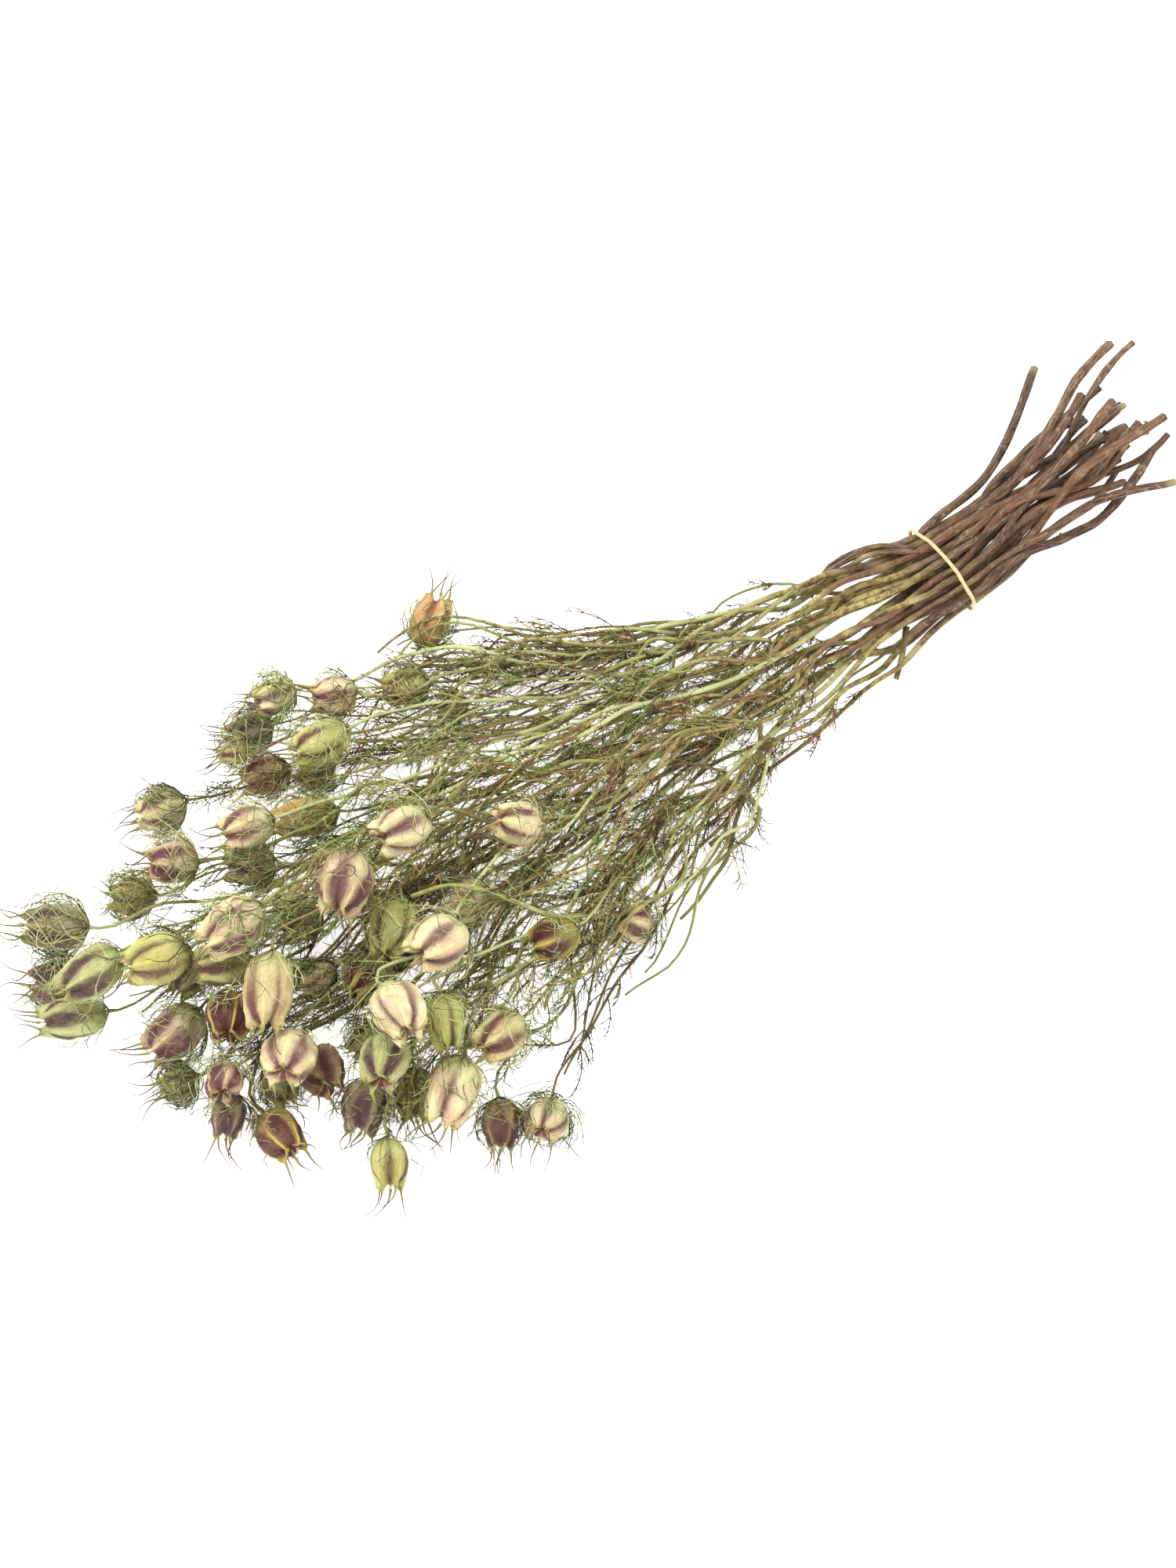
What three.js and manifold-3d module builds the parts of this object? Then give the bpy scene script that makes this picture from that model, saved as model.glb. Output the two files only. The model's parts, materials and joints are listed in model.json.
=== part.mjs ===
// Tied bunch of dried love-in-a-mist (nigella) seed pods, lying on a table.
// Millimetres, +Z up. The tie is at x = 0, the cut ends point to +X and the pods fan out to -X.
import * as THREE from 'three';
import Module from 'manifold-3d';

const wasm = await Module();
wasm.setup();
const { Manifold, Mesh: SolidMesh } = wasm;

// Tie and bundle
const TIE_WIDTH = 1.8;
const TIE_THICKNESS = 1.2;
const TIE_STEPS = 24;
const TOUCH_GAP = 0.35;
const BUNDLE_RADIUS = 2.4;            // radius of each stem where the tie holds it
const COLUMN_SIZES = [2, 3, 4, 3, 4, 3, 4, 3, 2];
const COLUMN_PITCH = 4.75;
const STACK_PITCH = 4.2;              // less than two radii, so stems of one column press together
const TIE_STRAIGHT = 4;               // stems run straight this far either side of the tie
const LOWEST_STEM = TIE_THICKNESS + TOUCH_GAP + BUNDLE_RADIUS;
const BUNDLE_HEIGHT = LOWEST_STEM + STACK_PITCH * 1.5;

// Stems
const STATION_STEP = 44;
const TIP_RADIUS = 2.15;              // at the cut end
const MIDDLE_RADIUS = 1.75;           // 90 mm up from the tie
const PEDICEL_RADIUS = 1.05;          // under a pod
const MIDDLE_DISTANCE = 90;
const MAIN_SIDES = 5;
const BRANCH_SIDES = 4;
const HOOK_LENGTH = 11;               // last stretch of a stem, in line with its pod
const CLEARANCE = 0.5;                // kept between stems of different nodes
const SETTLE_STEPS = 90;
const REACH = 30;                     // stems further apart than this never meet

// Pods
const POD_COLUMNS = 10;
const GROOVE = 0.86;
const POD_RINGS = [[-0.4, 0.52], [-0.1, 0.99], [0.24, 0.9], [0.4, 0.55]];   // height, width share
const POD_BASE = -0.5;
const POD_DIMPLE = 0.37;
const HORN_RADIUS = 0.9;
const HORN_LENGTH = 11;
const HORN_ROOT = [0.38, 0.26];         // height and width share of the groove corners between horns
const POD_GAP = 0.35;

// Thread leaves and bracts
const THREAD_RADIUS = 0.46;
const THREAD_GAP = 0.35;
const BRACTS_PER_POD = 3;
const LEAF_COUNT = 90;
const LEAF_START = -75;
const LEAF_END = -330;
const TRIES = 14;

const COLOURS = {
  purple: '#8d6c74', green: '#a9a778', lime: '#aaa651', blush: '#b79a8c', pink: '#b58f8b',
  dark: '#6d3b41', tan: '#b99a78', cream: '#cdbb95', brown: '#8a6a56', olive: '#7f8150',
  orange: '#b98a55', stem: '#6f7148', tie: '#d9c48f',
};

// Each pod: its centre, the heading and lift of its axis in degrees, length, width, colour, stem.
// A main pod ends its own stem, a branch pod a side shoot, and a small pod is one body with it.
const PODS = [
  [-404, 62, 24, 146, 5, 24, 21, 'purple', 'main'],
  [-413, 47, 9.7, 149, -2, 23, 20, 'purple', 'branch'],
  [-405, 27, 42, -177, -3, 27, 20, 'green', 'main'],
  [-418, 27, 16, 156, -1, 26, 19, 'green', 'branch'],
  [-384, 15, 48, 167, 5, 25, 22, 'lime', 'main'],
  [-354, 2, 64, -179, -8, 26, 22, 'blush', 'main'],
  [-362, 0, 41, 164, 12, 21, 19, 'lime', 'branch'],
  [-373, 10, 26, -159, -10, 18, 15, 'green', 'branch'],
  [-387, -1, 17, -175, -15, 25, 22, 'pink', 'main'],
  [-369, -13, 29, -125, 10, 20, 19, 'dark', 'branch'],
  [-356, -27, 52, -130, -25, 29, 22, 'tan', 'main'],
  [-361, -44, 38, -131, 30, 24, 23, 'cream', 'main'],
  [-350, -50, 17, -103, 18, 21, 20, 'brown', 'main'],
  [-397, -17, 6.7, 167, -1, 14, 14, 'olive', 'branch'],
  [-386, -36, 27, -128, 25, 18, 17, 'pink', 'branch'],
  [-389, -41, 7.7, -134, -15, 17, 16, 'purple', 'branch'],
  [-377, -60, 9.7, -91, 10, 21, 20, 'dark', 'main'],
  [-366, -42, 9, -97, -6, 16, 14, 'olive', 'small'],
  [-354, 51, 42, 158, 21, 20, 19, 'pink', 'main'],
  [-323, 42, 52, 170, 3, 21, 19, 'cream', 'main'],
  [-326, 38, 29, 152, 2, 20, 17, 'purple', 'branch'],
  [-337, 93, 8.2, 167, -1, 20, 17, 'cream', 'main'],
  [-370, 60, 16, 149, -2, 18, 16, 'olive', 'small'],
  [-275, 100, 30, 177, 17, 18, 17, 'cream', 'main'],
  [-286, 104, 7.7, 162, -5, 18, 16, 'purple', 'branch'],
  [-254, 87, 29, 164, 12, 18, 17, 'blush', 'main'],
  [-274, 64, 42, 169, -8, 23, 19, 'lime', 'main'],
  [-296, 74, 22, 162, -10, 19, 16, 'brown', 'branch'],
  [-276, 69, 10, 172, -14, 16, 14, 'brown', 'small'],
  [-303, 88, 27, 169, 21, 11, 10, 'tan', 'branch'],
  [-294, 46, 26, 154, -5, 25, 17, 'orange', 'main'],
  [-224, 78, 20, 154, -5, 18, 16, 'lime', 'branch'],
  [-201, 95, 27, 31, 33, 21, 18, 'orange', 'main'],
  [-211, 64, 10, 162, -10, 13, 11, 'tan', 'small'],
  [-278, -4, 72, -177, 19, 23, 22, 'cream', 'main'],
  [-236, -23, 61, 153, 31, 20, 19, 'cream', 'main'],
  [-309, -10, 71, -139, -4, 26, 23, 'pink', 'main'],
  [-297, -23, 42, -141, -24, 23, 20, 'lime', 'branch'],
  [-292, -50, 64, -169, 15, 24, 22, 'cream', 'main'],
  [-266, -32, 42, -175, -10, 17, 16, 'blush', 'branch'],
  [-279, -10, 34, 162, -10, 12, 11, 'purple', 'small'],
  [-244, -60, 31, 169, -8, 20, 18, 'dark', 'main'],
  [-210, -67, 16, 157, 47, 17, 16, 'cream', 'branch'],
  [-312, -27, 22, -162, -4, 20, 17, 'dark', 'main'],
  [-322, 8, 22, 172, -14, 18, 15, 'brown', 'small'],
  [-322, -66, 64, -102, 13, 25, 23, 'cream', 'main'],
  [-303, -70, 40, -115, -15, 22, 18, 'lime', 'branch'],
  [-287, -84, 32, -171, 11, 22, 21, 'tan', 'main'],
  [-332, -70, 38, -132, 20, 24, 23, 'green', 'main'],
  [-343, -68, 9.2, -134, -20, 21, 19, 'purple', 'branch'],
  [-314, -90, 25, -147, -23, 27, 22, 'cream', 'main'],
  [-323, -76, 8.2, -123, -20, 20, 17, 'olive', 'branch'],
  [-326, -46, 10, -179, -19, 15, 13, 'olive', 'small'],
  [-302, -106, 7.7, -123, -10, 19, 16, 'brown', 'branch'],
  [-287, -115, 8.8, -142, 25, 18, 18, 'cream', 'main'],
  [-348, -95, 8.2, -123, -15, 19, 17, 'lime', 'branch'],
  [-328, -12, 12, -179, -10, 16, 14, 'tan', 'small'],
];

// Cut ends that stand out of the bundle: stem rank across the bundle and the place of its tip
const STRAY_TIPS = {
  0: [106, -24, 14],
  3: [118, -2, 26],
  20: [131, 28, 24],
  24: [128, 44, 18],
  27: [101, 62, 10],
};
const TIP_STATIONS = [0.66, 0.33];     // points between a tip and the tie, as shares of the way
const TIP_DRIFT = 0.13;               // the bundle bends this much to +Y behind the tie
const TIP_SPREAD = 1.2;
const FAN_CURVE = 2.2;                // above 1, the stems stay bundled and then spread
const WAVER = 9;                      // how far the stems stray from their lines in the fan
const SMOOTHING = 0.03;

// A pod whose stem takes a detour on its way
const DETOURS = { pod_35: [-240, -28, 54] };

// Dry side shoots that have lost their pods: radius at both ends, then the points of each
const SHOOTS = [
  [1.6, 0.7, [[-6, 9, 18], [-17, 17, 20], [-27, 24, 21], [-40, 32, 18], [-52, 31, 8], [-63, 26, 3]]],
  [1.6, 1.0, [[-7, 12, 15], [-18, 22, 14], [-28, 29, 11], [-38, 31, 7], [-52, 24, 4]]],
  [1.1, 0.8, [[-88, 6, 24], [-102, 17, 34], [-118, 28, 37], [-131, 33, 29], [-143, 32, 18]]],
  [1.0, 0.8, [[-126, 26, 20], [-138, 39, 27], [-149, 47, 24], [-160, 52, 14]]],
  [1.2, 0.9, [[-153, -14, 30], [-171, -27, 37], [-184, -25, 38], [-196, -14, 40], [-210, 2, 44], [-232, 20, 44]]],
  [1.2, 0.8, [[-140, -26, 16], [-136, -42, 11], [-134, -55, 6], [-145, -62, 3], [-161, -60, 3], [-178, -56, 5]]],
  [1.1, 0.8, [[-112, -20, 16], [-124, -38, 9], [-148, -56, 4], [-172, -66, 4], [-190, -72, 6]]],
  [1.4, 1.2, [[-31, -17, 9], [-40, -25, 6], [-47, -30, 4]]],
  [1.3, 1.1, [[-158, -42, 12], [-150, -55, 8]]],
  [1.1, 0.9, [[-220, -62, 26], [-244, -57, 46], [-261, -44, 60], [-274, -33, 62], [-288, -24, 57]]],
];

// Repeatable random numbers from 0 to 1
function makeRandom(seed) {
  let state = seed;
  return () => {
    state = (state * 1664525 + 1013904223) % 4294967296;
    return state / 4294967296;
  };
}

const vec = (x, y, z) => new THREE.Vector3(x, y, z);
const radians = THREE.MathUtils.degToRad;
const lerp = THREE.MathUtils.lerp;

function makePods() {
  return PODS.map(([x, y, z, heading, lift, length, width, colour, role], index) => {
    const h = radians(heading);
    const l = radians(lift);
    const axis = vec(Math.cos(l) * Math.cos(h), Math.cos(l) * Math.sin(h), Math.sin(l));
    const name = `pod_${String(index + 1).padStart(2, '0')}`;
    const resting = z < width / 2;
    const height = resting ? z * 0.97 : z;
    return { name, centre: vec(x, y, height), axis, length, width, colour, role, resting };
  });
}

// Pods that would touch are moved apart, and none goes below its resting height
function spreadPods(pods) {
  const rest = pods.map((pod) => pod.centre.z);
  for (let step = 0; step < SETTLE_STEPS; step += 1) {
    for (let i = 0; i < pods.length; i += 1) {
      for (let j = i + 1; j < pods.length; j += 1) {
        const between = pods[j].centre.clone().sub(pods[i].centre);
        const gap = between.length();
        const direction = between.divideScalar(gap);
        const need = reachAlong(pods[i], direction) + reachAlong(pods[j], direction) + 3 * POD_GAP;
        if (gap < need) {
          pods[i].centre.addScaledVector(direction, (gap - need) / 4);
          pods[j].centre.addScaledVector(direction, (need - gap) / 4);
        }
      }
    }
    pods.forEach((pod, k) => {
      pod.centre.z = pod.resting ? rest[k] : Math.max(pod.centre.z, pod.width / 2 + 0.6);
    });
  }
}

// Half size of a pod's ellipsoid along a direction
function reachAlong(pod, direction) {
  const along = direction.dot(pod.axis);
  const across = Math.sqrt(Math.max(0, 1 - along * along));
  return Math.hypot(along * (pod.length / 2 + 1), across * (pod.width / 2 + 0.4));
}

// A stem tapers from its cut end to the middle of the bunch and on to its pod
function radiusAt(x, endX) {
  if (x > TIE_STRAIGHT) {
    return lerp(BUNDLE_RADIUS, TIP_RADIUS, Math.min(1, (x - TIE_STRAIGHT) / MIDDLE_DISTANCE));
  }
  if (x >= -TIE_STRAIGHT) {
    return BUNDLE_RADIUS;
  }
  if (x > -MIDDLE_DISTANCE) {
    return lerp(BUNDLE_RADIUS, MIDDLE_RADIUS, -x / MIDDLE_DISTANCE);
  }
  const share = (-x - MIDDLE_DISTANCE) / Math.max(1, -endX - MIDDLE_DISTANCE);
  return lerp(MIDDLE_RADIUS, PEDICEL_RADIUS, Math.min(1, share));
}

// Radius at one point of a stem or of a bare shoot
function radiusOf(stem, k) {
  const last = stem.points.length - 1;
  if (stem.taper) {
    return lerp(stem.taper[0], stem.taper[1], k / last);
  }
  return radiusAt(stem.points[k].x, stem.points[last].x);
}

// Where a stem meets its pod, and the start of the straight stretch before it
function hookOf(pod) {
  const sunk = pod.role === 'small' ? -1.5 : POD_GAP;
  const end = pod.centre.clone().addScaledVector(pod.axis, -(pod.length / 2 + sunk));
  const start = end.clone().addScaledVector(pod.axis, -HOOK_LENGTH);
  start.z = Math.max(start.z, PEDICEL_RADIUS + 1);
  return { start, end };
}

// Places in the tie, column by column: [y, z, column]
function bundleSlots() {
  const slots = [];
  COLUMN_SIZES.forEach((size, column) => {
    const y = (column - (COLUMN_SIZES.length - 1) / 2) * COLUMN_PITCH;
    for (let row = 0; row < size; row += 1) {
      slots.push([y, BUNDLE_HEIGHT + (row - (size - 1) / 2) * STACK_PITCH, column]);
    }
  });
  return slots;
}

// Main stems take their places in the order of the fan, and in a column from the lowest up
function makeMains(pods, random) {
  const slots = bundleSlots();
  const mains = pods.filter((pod) => pod.role === 'main');
  mains.sort((a, b) => Math.atan2(a.centre.y, -a.centre.x) - Math.atan2(b.centre.y, -b.centre.x));
  const ordered = [];
  COLUMN_SIZES.forEach((size) => {
    const column = mains.slice(ordered.length, ordered.length + size);
    column.sort((a, b) => a.centre.z / a.centre.x - b.centre.z / b.centre.x);
    ordered.push(...column.reverse());
  });
  return ordered.map((pod, rank) => {
    const [y, z, column] = slots[rank];
    const hook = hookOf(pod);
    const tipX = 90 + 34 * random();
    const tipY = TIP_DRIFT * tipX + TIP_SPREAD * y + 9 * (random() - 0.5);
    const tipZ = 2.6 + (z - LOWEST_STEM) * TIP_SPREAD + 6 * random();
    const tip = STRAY_TIPS[rank] ? vec(...STRAY_TIPS[rank]) : vec(tipX, tipY, tipZ);
    const points = [tip];
    TIP_STATIONS.forEach((share) => {
      const out = share ** 1.3;
      points.push(vec(lerp(TIE_STRAIGHT, tip.x, share), lerp(y, tip.y, out), lerp(z, tip.z, out)));
    });
    const fixed = [points.length, points.length + 1];
    points.push(vec(TIE_STRAIGHT, y, z), vec(-TIE_STRAIGHT, y, z));
    const goal = DETOURS[pod.name] ? vec(...DETOURS[pod.name]) : hook.start;
    for (let x = -TIE_STRAIGHT - STATION_STEP; x > goal.x + 15; x -= STATION_STEP) {
      const share = x / goal.x;
      const waver = WAVER * Math.sin(Math.PI * share);
      const acrossY = lerp(y, goal.y, share ** FAN_CURVE) + waver * (random() - 0.5);
      const upZ = lerp(z, goal.z, share ** 1.3) + waver * (random() - 0.5);
      points.push(vec(x, acrossY, upZ));
    }
    if (goal !== hook.start) {
      points.push(goal);
    }
    points.push(hook.start, hook.end);
    return { pod, column, points, fixed, parent: null, sides: MAIN_SIDES };
  });
}

// Each side shoot leaves the nearest main stem and runs to its own pod
function makeBranches(pods, mains, random) {
  const shoots = pods.filter((pod) => pod.role !== 'main');
  return shoots.map((pod) => {
    const distance = (stem) => stem.pod.centre.distanceTo(pod.centre);
    const parent = mains.reduce((best, stem) => (distance(stem) < distance(best) ? stem : best));
    const hook = hookOf(pod);
    const wanted = hook.start.x * (0.5 + 0.18 * random());
    let join = 5;
    while (join < parent.points.length - 3 && parent.points[join].x > wanted) {
      join += 1;
    }
    const root = parent.points[join].clone();
    const points = [root];
    const count = Math.max(1, Math.round((root.x - hook.start.x) / STATION_STEP));
    for (let k = 1; k < count; k += 1) {
      const point = root.clone().lerp(hook.start, k / count);
      point.z -= 3 * Math.sin((Math.PI * k) / count);
      points.push(point);
    }
    points.push(hook.start, hook.end);
    return { pod, column: parent.column, points, fixed: [], parent, join, share: 0, sides: BRANCH_SIDES };
  });
}

// A bare shoot leaves the stem that passes nearest to its first point
function makeShoots(mains) {
  return SHOOTS.map(([thick, thin, places]) => {
    const points = places.map((place) => vec(...place));
    let best = { gap: Infinity };
    mains.forEach((stem) => {
      for (let k = 4; k + 2 < stem.points.length; k += 1) {
        const [share] = nearest(stem.points[k], stem.points[k + 1], points[0], points[0]);
        const gap = stem.points[k].clone().lerp(stem.points[k + 1], share).distanceTo(points[0]);
        best = gap < best.gap ? { gap, stem, k, share } : best;
      }
    });
    const { stem: parent, k: join, share } = best;
    const taper = [thick, thin];
    const common = { pod: null, column: parent.column, fixed: [], sides: BRANCH_SIDES };
    return { ...common, points, parent, join, share, taper };
  });
}

// Nearest points of two straight pieces, as shares of each
function nearest(p1, q1, p2, q2) {
  const d1 = q1.clone().sub(p1);
  const d2 = q2.clone().sub(p2);
  const r = p1.clone().sub(p2);
  const a = d1.dot(d1) + 1e-9;
  const e = d2.dot(d2) + 1e-9;
  const f = d2.dot(r);
  const c = d1.dot(r);
  const b = d1.dot(d2);
  const clamp = (value) => Math.min(1, Math.max(0, value));
  const s = clamp((b * f - c * e) / Math.max(1e-9, a * e - b * b));
  const t = clamp((b * s + f) / e);
  return [clamp((b * t - c) / a), t];
}

function segmentsOf(stems) {
  const segments = [];
  stems.forEach((stem, owner) => {
    for (let k = 0; k + 1 < stem.points.length; k += 1) {
      segments.push({ owner, k, radius: (radiusOf(stem, k) + radiusOf(stem, k + 1)) / 2 });
    }
  });
  return segments;
}

// Pairs of stem pieces that may meet. A side shoot may touch its own parent near its root.
function pairsOf(stems, segments) {
  const pairs = [];
  for (let i = 0; i < segments.length; i += 1) {
    for (let j = i + 1; j < segments.length; j += 1) {
      const [one, two] = [segments[i], segments[j]];
      const [a, b] = [stems[one.owner], stems[two.owner]];
      const related = a === b.parent || (a.parent && a.parent === b.parent);
      if (one.owner === two.owner || (related && two.k < 2) || (related && one.k < 2 && a.parent)) {
        continue;
      }
      const box = new THREE.Box3().setFromPoints([a.points[one.k], a.points[one.k + 1]]);
      const other = new THREE.Box3().setFromPoints([b.points[two.k], b.points[two.k + 1]]);
      if (box.expandByScalar(REACH).intersectsBox(other)) {
        pairs.push([one, two]);
      }
    }
  }
  return pairs;
}

// Two balls stand for each pod while the stems settle around it
function ballsOf(pods) {
  return pods.flatMap((pod) => {
    const shift = Math.max(0, pod.length - pod.width) / 2;
    return [shift, -shift].map((offset) => ({
      pod,
      centre: pod.centre.clone().addScaledVector(pod.axis, offset),
      radius: pod.width / 2 + 0.6,
    }));
  });
}

// Stems that would cross are bent clear of each other and of the pods, all by the same small steps
function settleStems(stems, pods) {
  const segments = segmentsOf(stems);
  const pairs = pairsOf(stems, segments);
  const balls = ballsOf(pods);
  const goals = stems.map((stem) => stem.points[stem.points.length - 2].clone());
  for (let step = 0; step < SETTLE_STEPS; step += 1) {
    const moves = stems.map((stem) => stem.points.map(() => vec(0, 0, 0)));
    const push = (segment, share, direction, amount) => {
      const weight = (1 - share) ** 2 + share ** 2;
      moves[segment.owner][segment.k].addScaledVector(direction, (amount * (1 - share)) / weight);
      moves[segment.owner][segment.k + 1].addScaledVector(direction, (amount * share) / weight);
    };
    pairs.forEach(([one, two]) => {
      const [a, b] = [stems[one.owner].points, stems[two.owner].points];
      const [s, t] = nearest(a[one.k], a[one.k + 1], b[two.k], b[two.k + 1]);
      const from = a[one.k].clone().lerp(a[one.k + 1], s);
      const direction = b[two.k].clone().lerp(b[two.k + 1], t).sub(from);
      const gap = direction.length() + 1e-6;
      const need = one.radius + two.radius + CLEARANCE;
      if (gap < need) {
        direction.divideScalar(gap);
        push(one, s, direction, (gap - need) / 2);
        push(two, t, direction, (need - gap) / 2);
      }
    });
    segments.forEach((segment) => {
      const points = stems[segment.owner].points;
      const last = segment.k === points.length - 2;
      balls.forEach((ball) => {
        if (last && ball.pod === stems[segment.owner].pod) {
          return;
        }
        const [start, end] = [points[segment.k], points[segment.k + 1]];
        const [s] = nearest(start, end, ball.centre, ball.centre);
        const direction = start.clone().lerp(end, s).sub(ball.centre);
        const gap = direction.length() + 1e-6;
        const need = ball.radius + segment.radius + CLEARANCE;
        if (gap < need) {
          push(segment, s, direction.divideScalar(gap), need - gap);
        }
      });
    });
    stems.forEach((stem, owner) => {
      const points = stem.points;
      const last = points.length - 1;
      const bends = points.map((point, k) => {
        if (k === 0 || k === last) {
          return vec(0, 0, 0);
        }
        return points[k - 1].clone().lerp(points[k + 1], 0.5).sub(point).multiplyScalar(SMOOTHING);
      });
      points.forEach((point, k) => {
        if ((k === last && stem.pod) || stem.fixed.includes(k)) {
          return;
        }
        const move = moves[owner][k].multiplyScalar(0.45).clampLength(0, 2);
        point.add(move).add(bends[k].setX(0));
        if (k === last - 1) {
          point.lerp(goals[owner], 0.08);
        }
        point.z = Math.max(point.z, radiusOf(stem, k) + 0.05);
      });
    });
    stems.filter((stem) => stem.parent).forEach((stem) => {
      const { points } = stem.parent;
      stem.points[0].copy(points[stem.join]).lerp(points[stem.join + 1], stem.share);
    });
  }
}

// A closed solid through rings of points, with a flat cap or a point at each end
function solidFromRings(rings, startTip, endTip) {
  const sides = rings[0].length;
  const points = rings.flat();
  const triangles = [];
  for (let ring = 0; ring + 1 < rings.length; ring += 1) {
    for (let k = 0; k < sides; k += 1) {
      const a = ring * sides + k;
      const b = ring * sides + ((k + 1) % sides);
      triangles.push(a, b, b + sides, a, b + sides, a + sides);
    }
  }
  const cap = (base, tip, flip) => {
    const corners = tip ? sides : sides - 2;
    const top = tip ? points.push(tip) - 1 : base;
    for (let k = 0; k < corners; k += 1) {
      const a = tip ? base + k : base + k + 1;
      const b = tip ? base + ((k + 1) % sides) : base + k + 2;
      triangles.push(top, flip ? b : a, flip ? a : b);
    }
  };
  cap(0, startTip, true);
  cap((rings.length - 1) * sides, endTip, false);
  const solid = new Manifold(new SolidMesh({
    numProp: 3,
    vertProperties: new Float32Array(points.flatMap((point) => point.toArray())),
    triVerts: new Uint32Array(triangles),
  }));
  return solid;
}

// Rings square to a line through the given points
function ringsAlong(points, radii, sides, turn = 0) {
  let tangent = points[1].clone().sub(points[0]).normalize();
  let side = vec(0, 0, 1).addScaledVector(tangent, -tangent.z);
  if (side.lengthSq() < 1e-4) {
    side = vec(0, 1, 0);
  }
  side.normalize();
  return points.map((point, k) => {
    const before = points[Math.max(0, k - 1)];
    const after = points[Math.min(points.length - 1, k + 1)];
    const next = after.clone().sub(before).normalize();
    side = side.clone().applyQuaternion(new THREE.Quaternion().setFromUnitVectors(tangent, next));
    tangent = next;
    const other = tangent.clone().cross(side);
    const ring = [];
    for (let corner = 0; corner < sides; corner += 1) {
      const angle = turn + (2 * Math.PI * corner) / sides;
      const reach = point.clone().addScaledVector(side, radii[k] * Math.cos(angle));
      ring.push(reach.addScaledVector(other, radii[k] * Math.sin(angle)));
    }
    return ring;
  });
}

function stemSolid(stem) {
  const radii = stem.points.map((_, k) => radiusOf(stem, k));
  if (stem.parent) {
    radii[0] *= 0.8;
  }
  return solidFromRings(ringsAlong(stem.points, radii, stem.sides, Math.PI / stem.sides));
}

// A thin three-sided thread through its points, ending in a point
function threadSolid(points, radius) {
  const body = points.slice(0, -1);
  const radii = body.map((point, k) => radius * (1 - (0.15 * k) / body.length));
  return solidFromRings(ringsAlong(body, radii, 3), null, points[points.length - 1]);
}

// Everything that a thread must keep clear of
class Surroundings {
  constructor(pods) {
    this.pods = pods;
    this.pieces = [];
  }

  add(points, radius, node) {
    for (let k = 0; k + 1 < points.length; k += 1) {
      this.pieces.push({ a: points[k], b: points[k + 1], radius, node });
    }
  }

  clear(points, radius, node) {
    for (let k = 0; k + 1 < points.length; k += 1) {
      const [a, b] = [points[k], points[k + 1]];
      if (Math.min(a.z, b.z) < radius + 0.05 || this.meetsPod(a, b, radius, node)) {
        return false;
      }
      for (const piece of this.pieces) {
        const need = radius + piece.radius + THREAD_GAP;
        if (piece.node === node || Math.min(a.x, b.x) - need > Math.max(piece.a.x, piece.b.x)
          || Math.max(a.x, b.x) + need < Math.min(piece.a.x, piece.b.x)) {
          continue;
        }
        const [s, t] = nearest(a, b, piece.a, piece.b);
        const from = a.clone().lerp(b, s);
        if (from.distanceTo(piece.a.clone().lerp(piece.b, t)) < need) {
          return false;
        }
      }
    }
    return true;
  }

  meetsPod(a, b, radius, node) {
    return this.pods.some((pod) => {
      if (pod.node === node) {
        return false;
      }
      const [s] = nearest(a, b, pod.centre, pod.centre);
      return [0, 0.5, 1, s].some((share) => {
        const offset = a.clone().lerp(b, share).sub(pod.centre);
        const along = offset.dot(pod.axis);
        const across = Math.sqrt(Math.max(0, offset.lengthSq() - along * along));
        const room = radius + THREAD_GAP;
        return Math.hypot(along / (pod.length / 2 + room), across / (pod.width / 2 + room)) < 1;
      });
    });
  }
}

// Two directions square to a pod's axis
function sidesOf(pod) {
  const across = vec(0, 0, 1).addScaledVector(pod.axis, -pod.axis.z).normalize();
  return [across, pod.axis.clone().cross(across)];
}

// A ribbed pod: crests and grooves in turn, each crest drawn out at the top into a dry horn
function podSolid(pod, tips) {
  const [u, v] = sidesOf(pod);
  const place = (height, reach, angle) => pod.centre.clone()
    .addScaledVector(pod.axis, height * pod.length)
    .addScaledVector(u, reach * Math.cos(angle))
    .addScaledVector(v, reach * Math.sin(angle));
  const angleOf = (k) => pod.turn + (2 * Math.PI * k) / POD_COLUMNS;
  const corners = Array.from({ length: POD_COLUMNS }, (_, k) => k);
  const rings = POD_RINGS.map(([height, share]) => corners.map((k) => {
    const reach = (pod.width / 2) * share * (k % 2 === 0 ? 1 : GROOVE);
    return place(height, reach, angleOf(k));
  }));
  const [height, share] = HORN_ROOT;
  const hollow = (k) => place(height, (pod.width / 2) * share, angleOf(k));
  rings.push(corners.map((k) => (k % 2 === 0 ? tips[k / 2] : hollow(k))));
  return solidFromRings(rings, place(POD_BASE, 0, 0), place(POD_DIMPLE, 0, 0));
}

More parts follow.
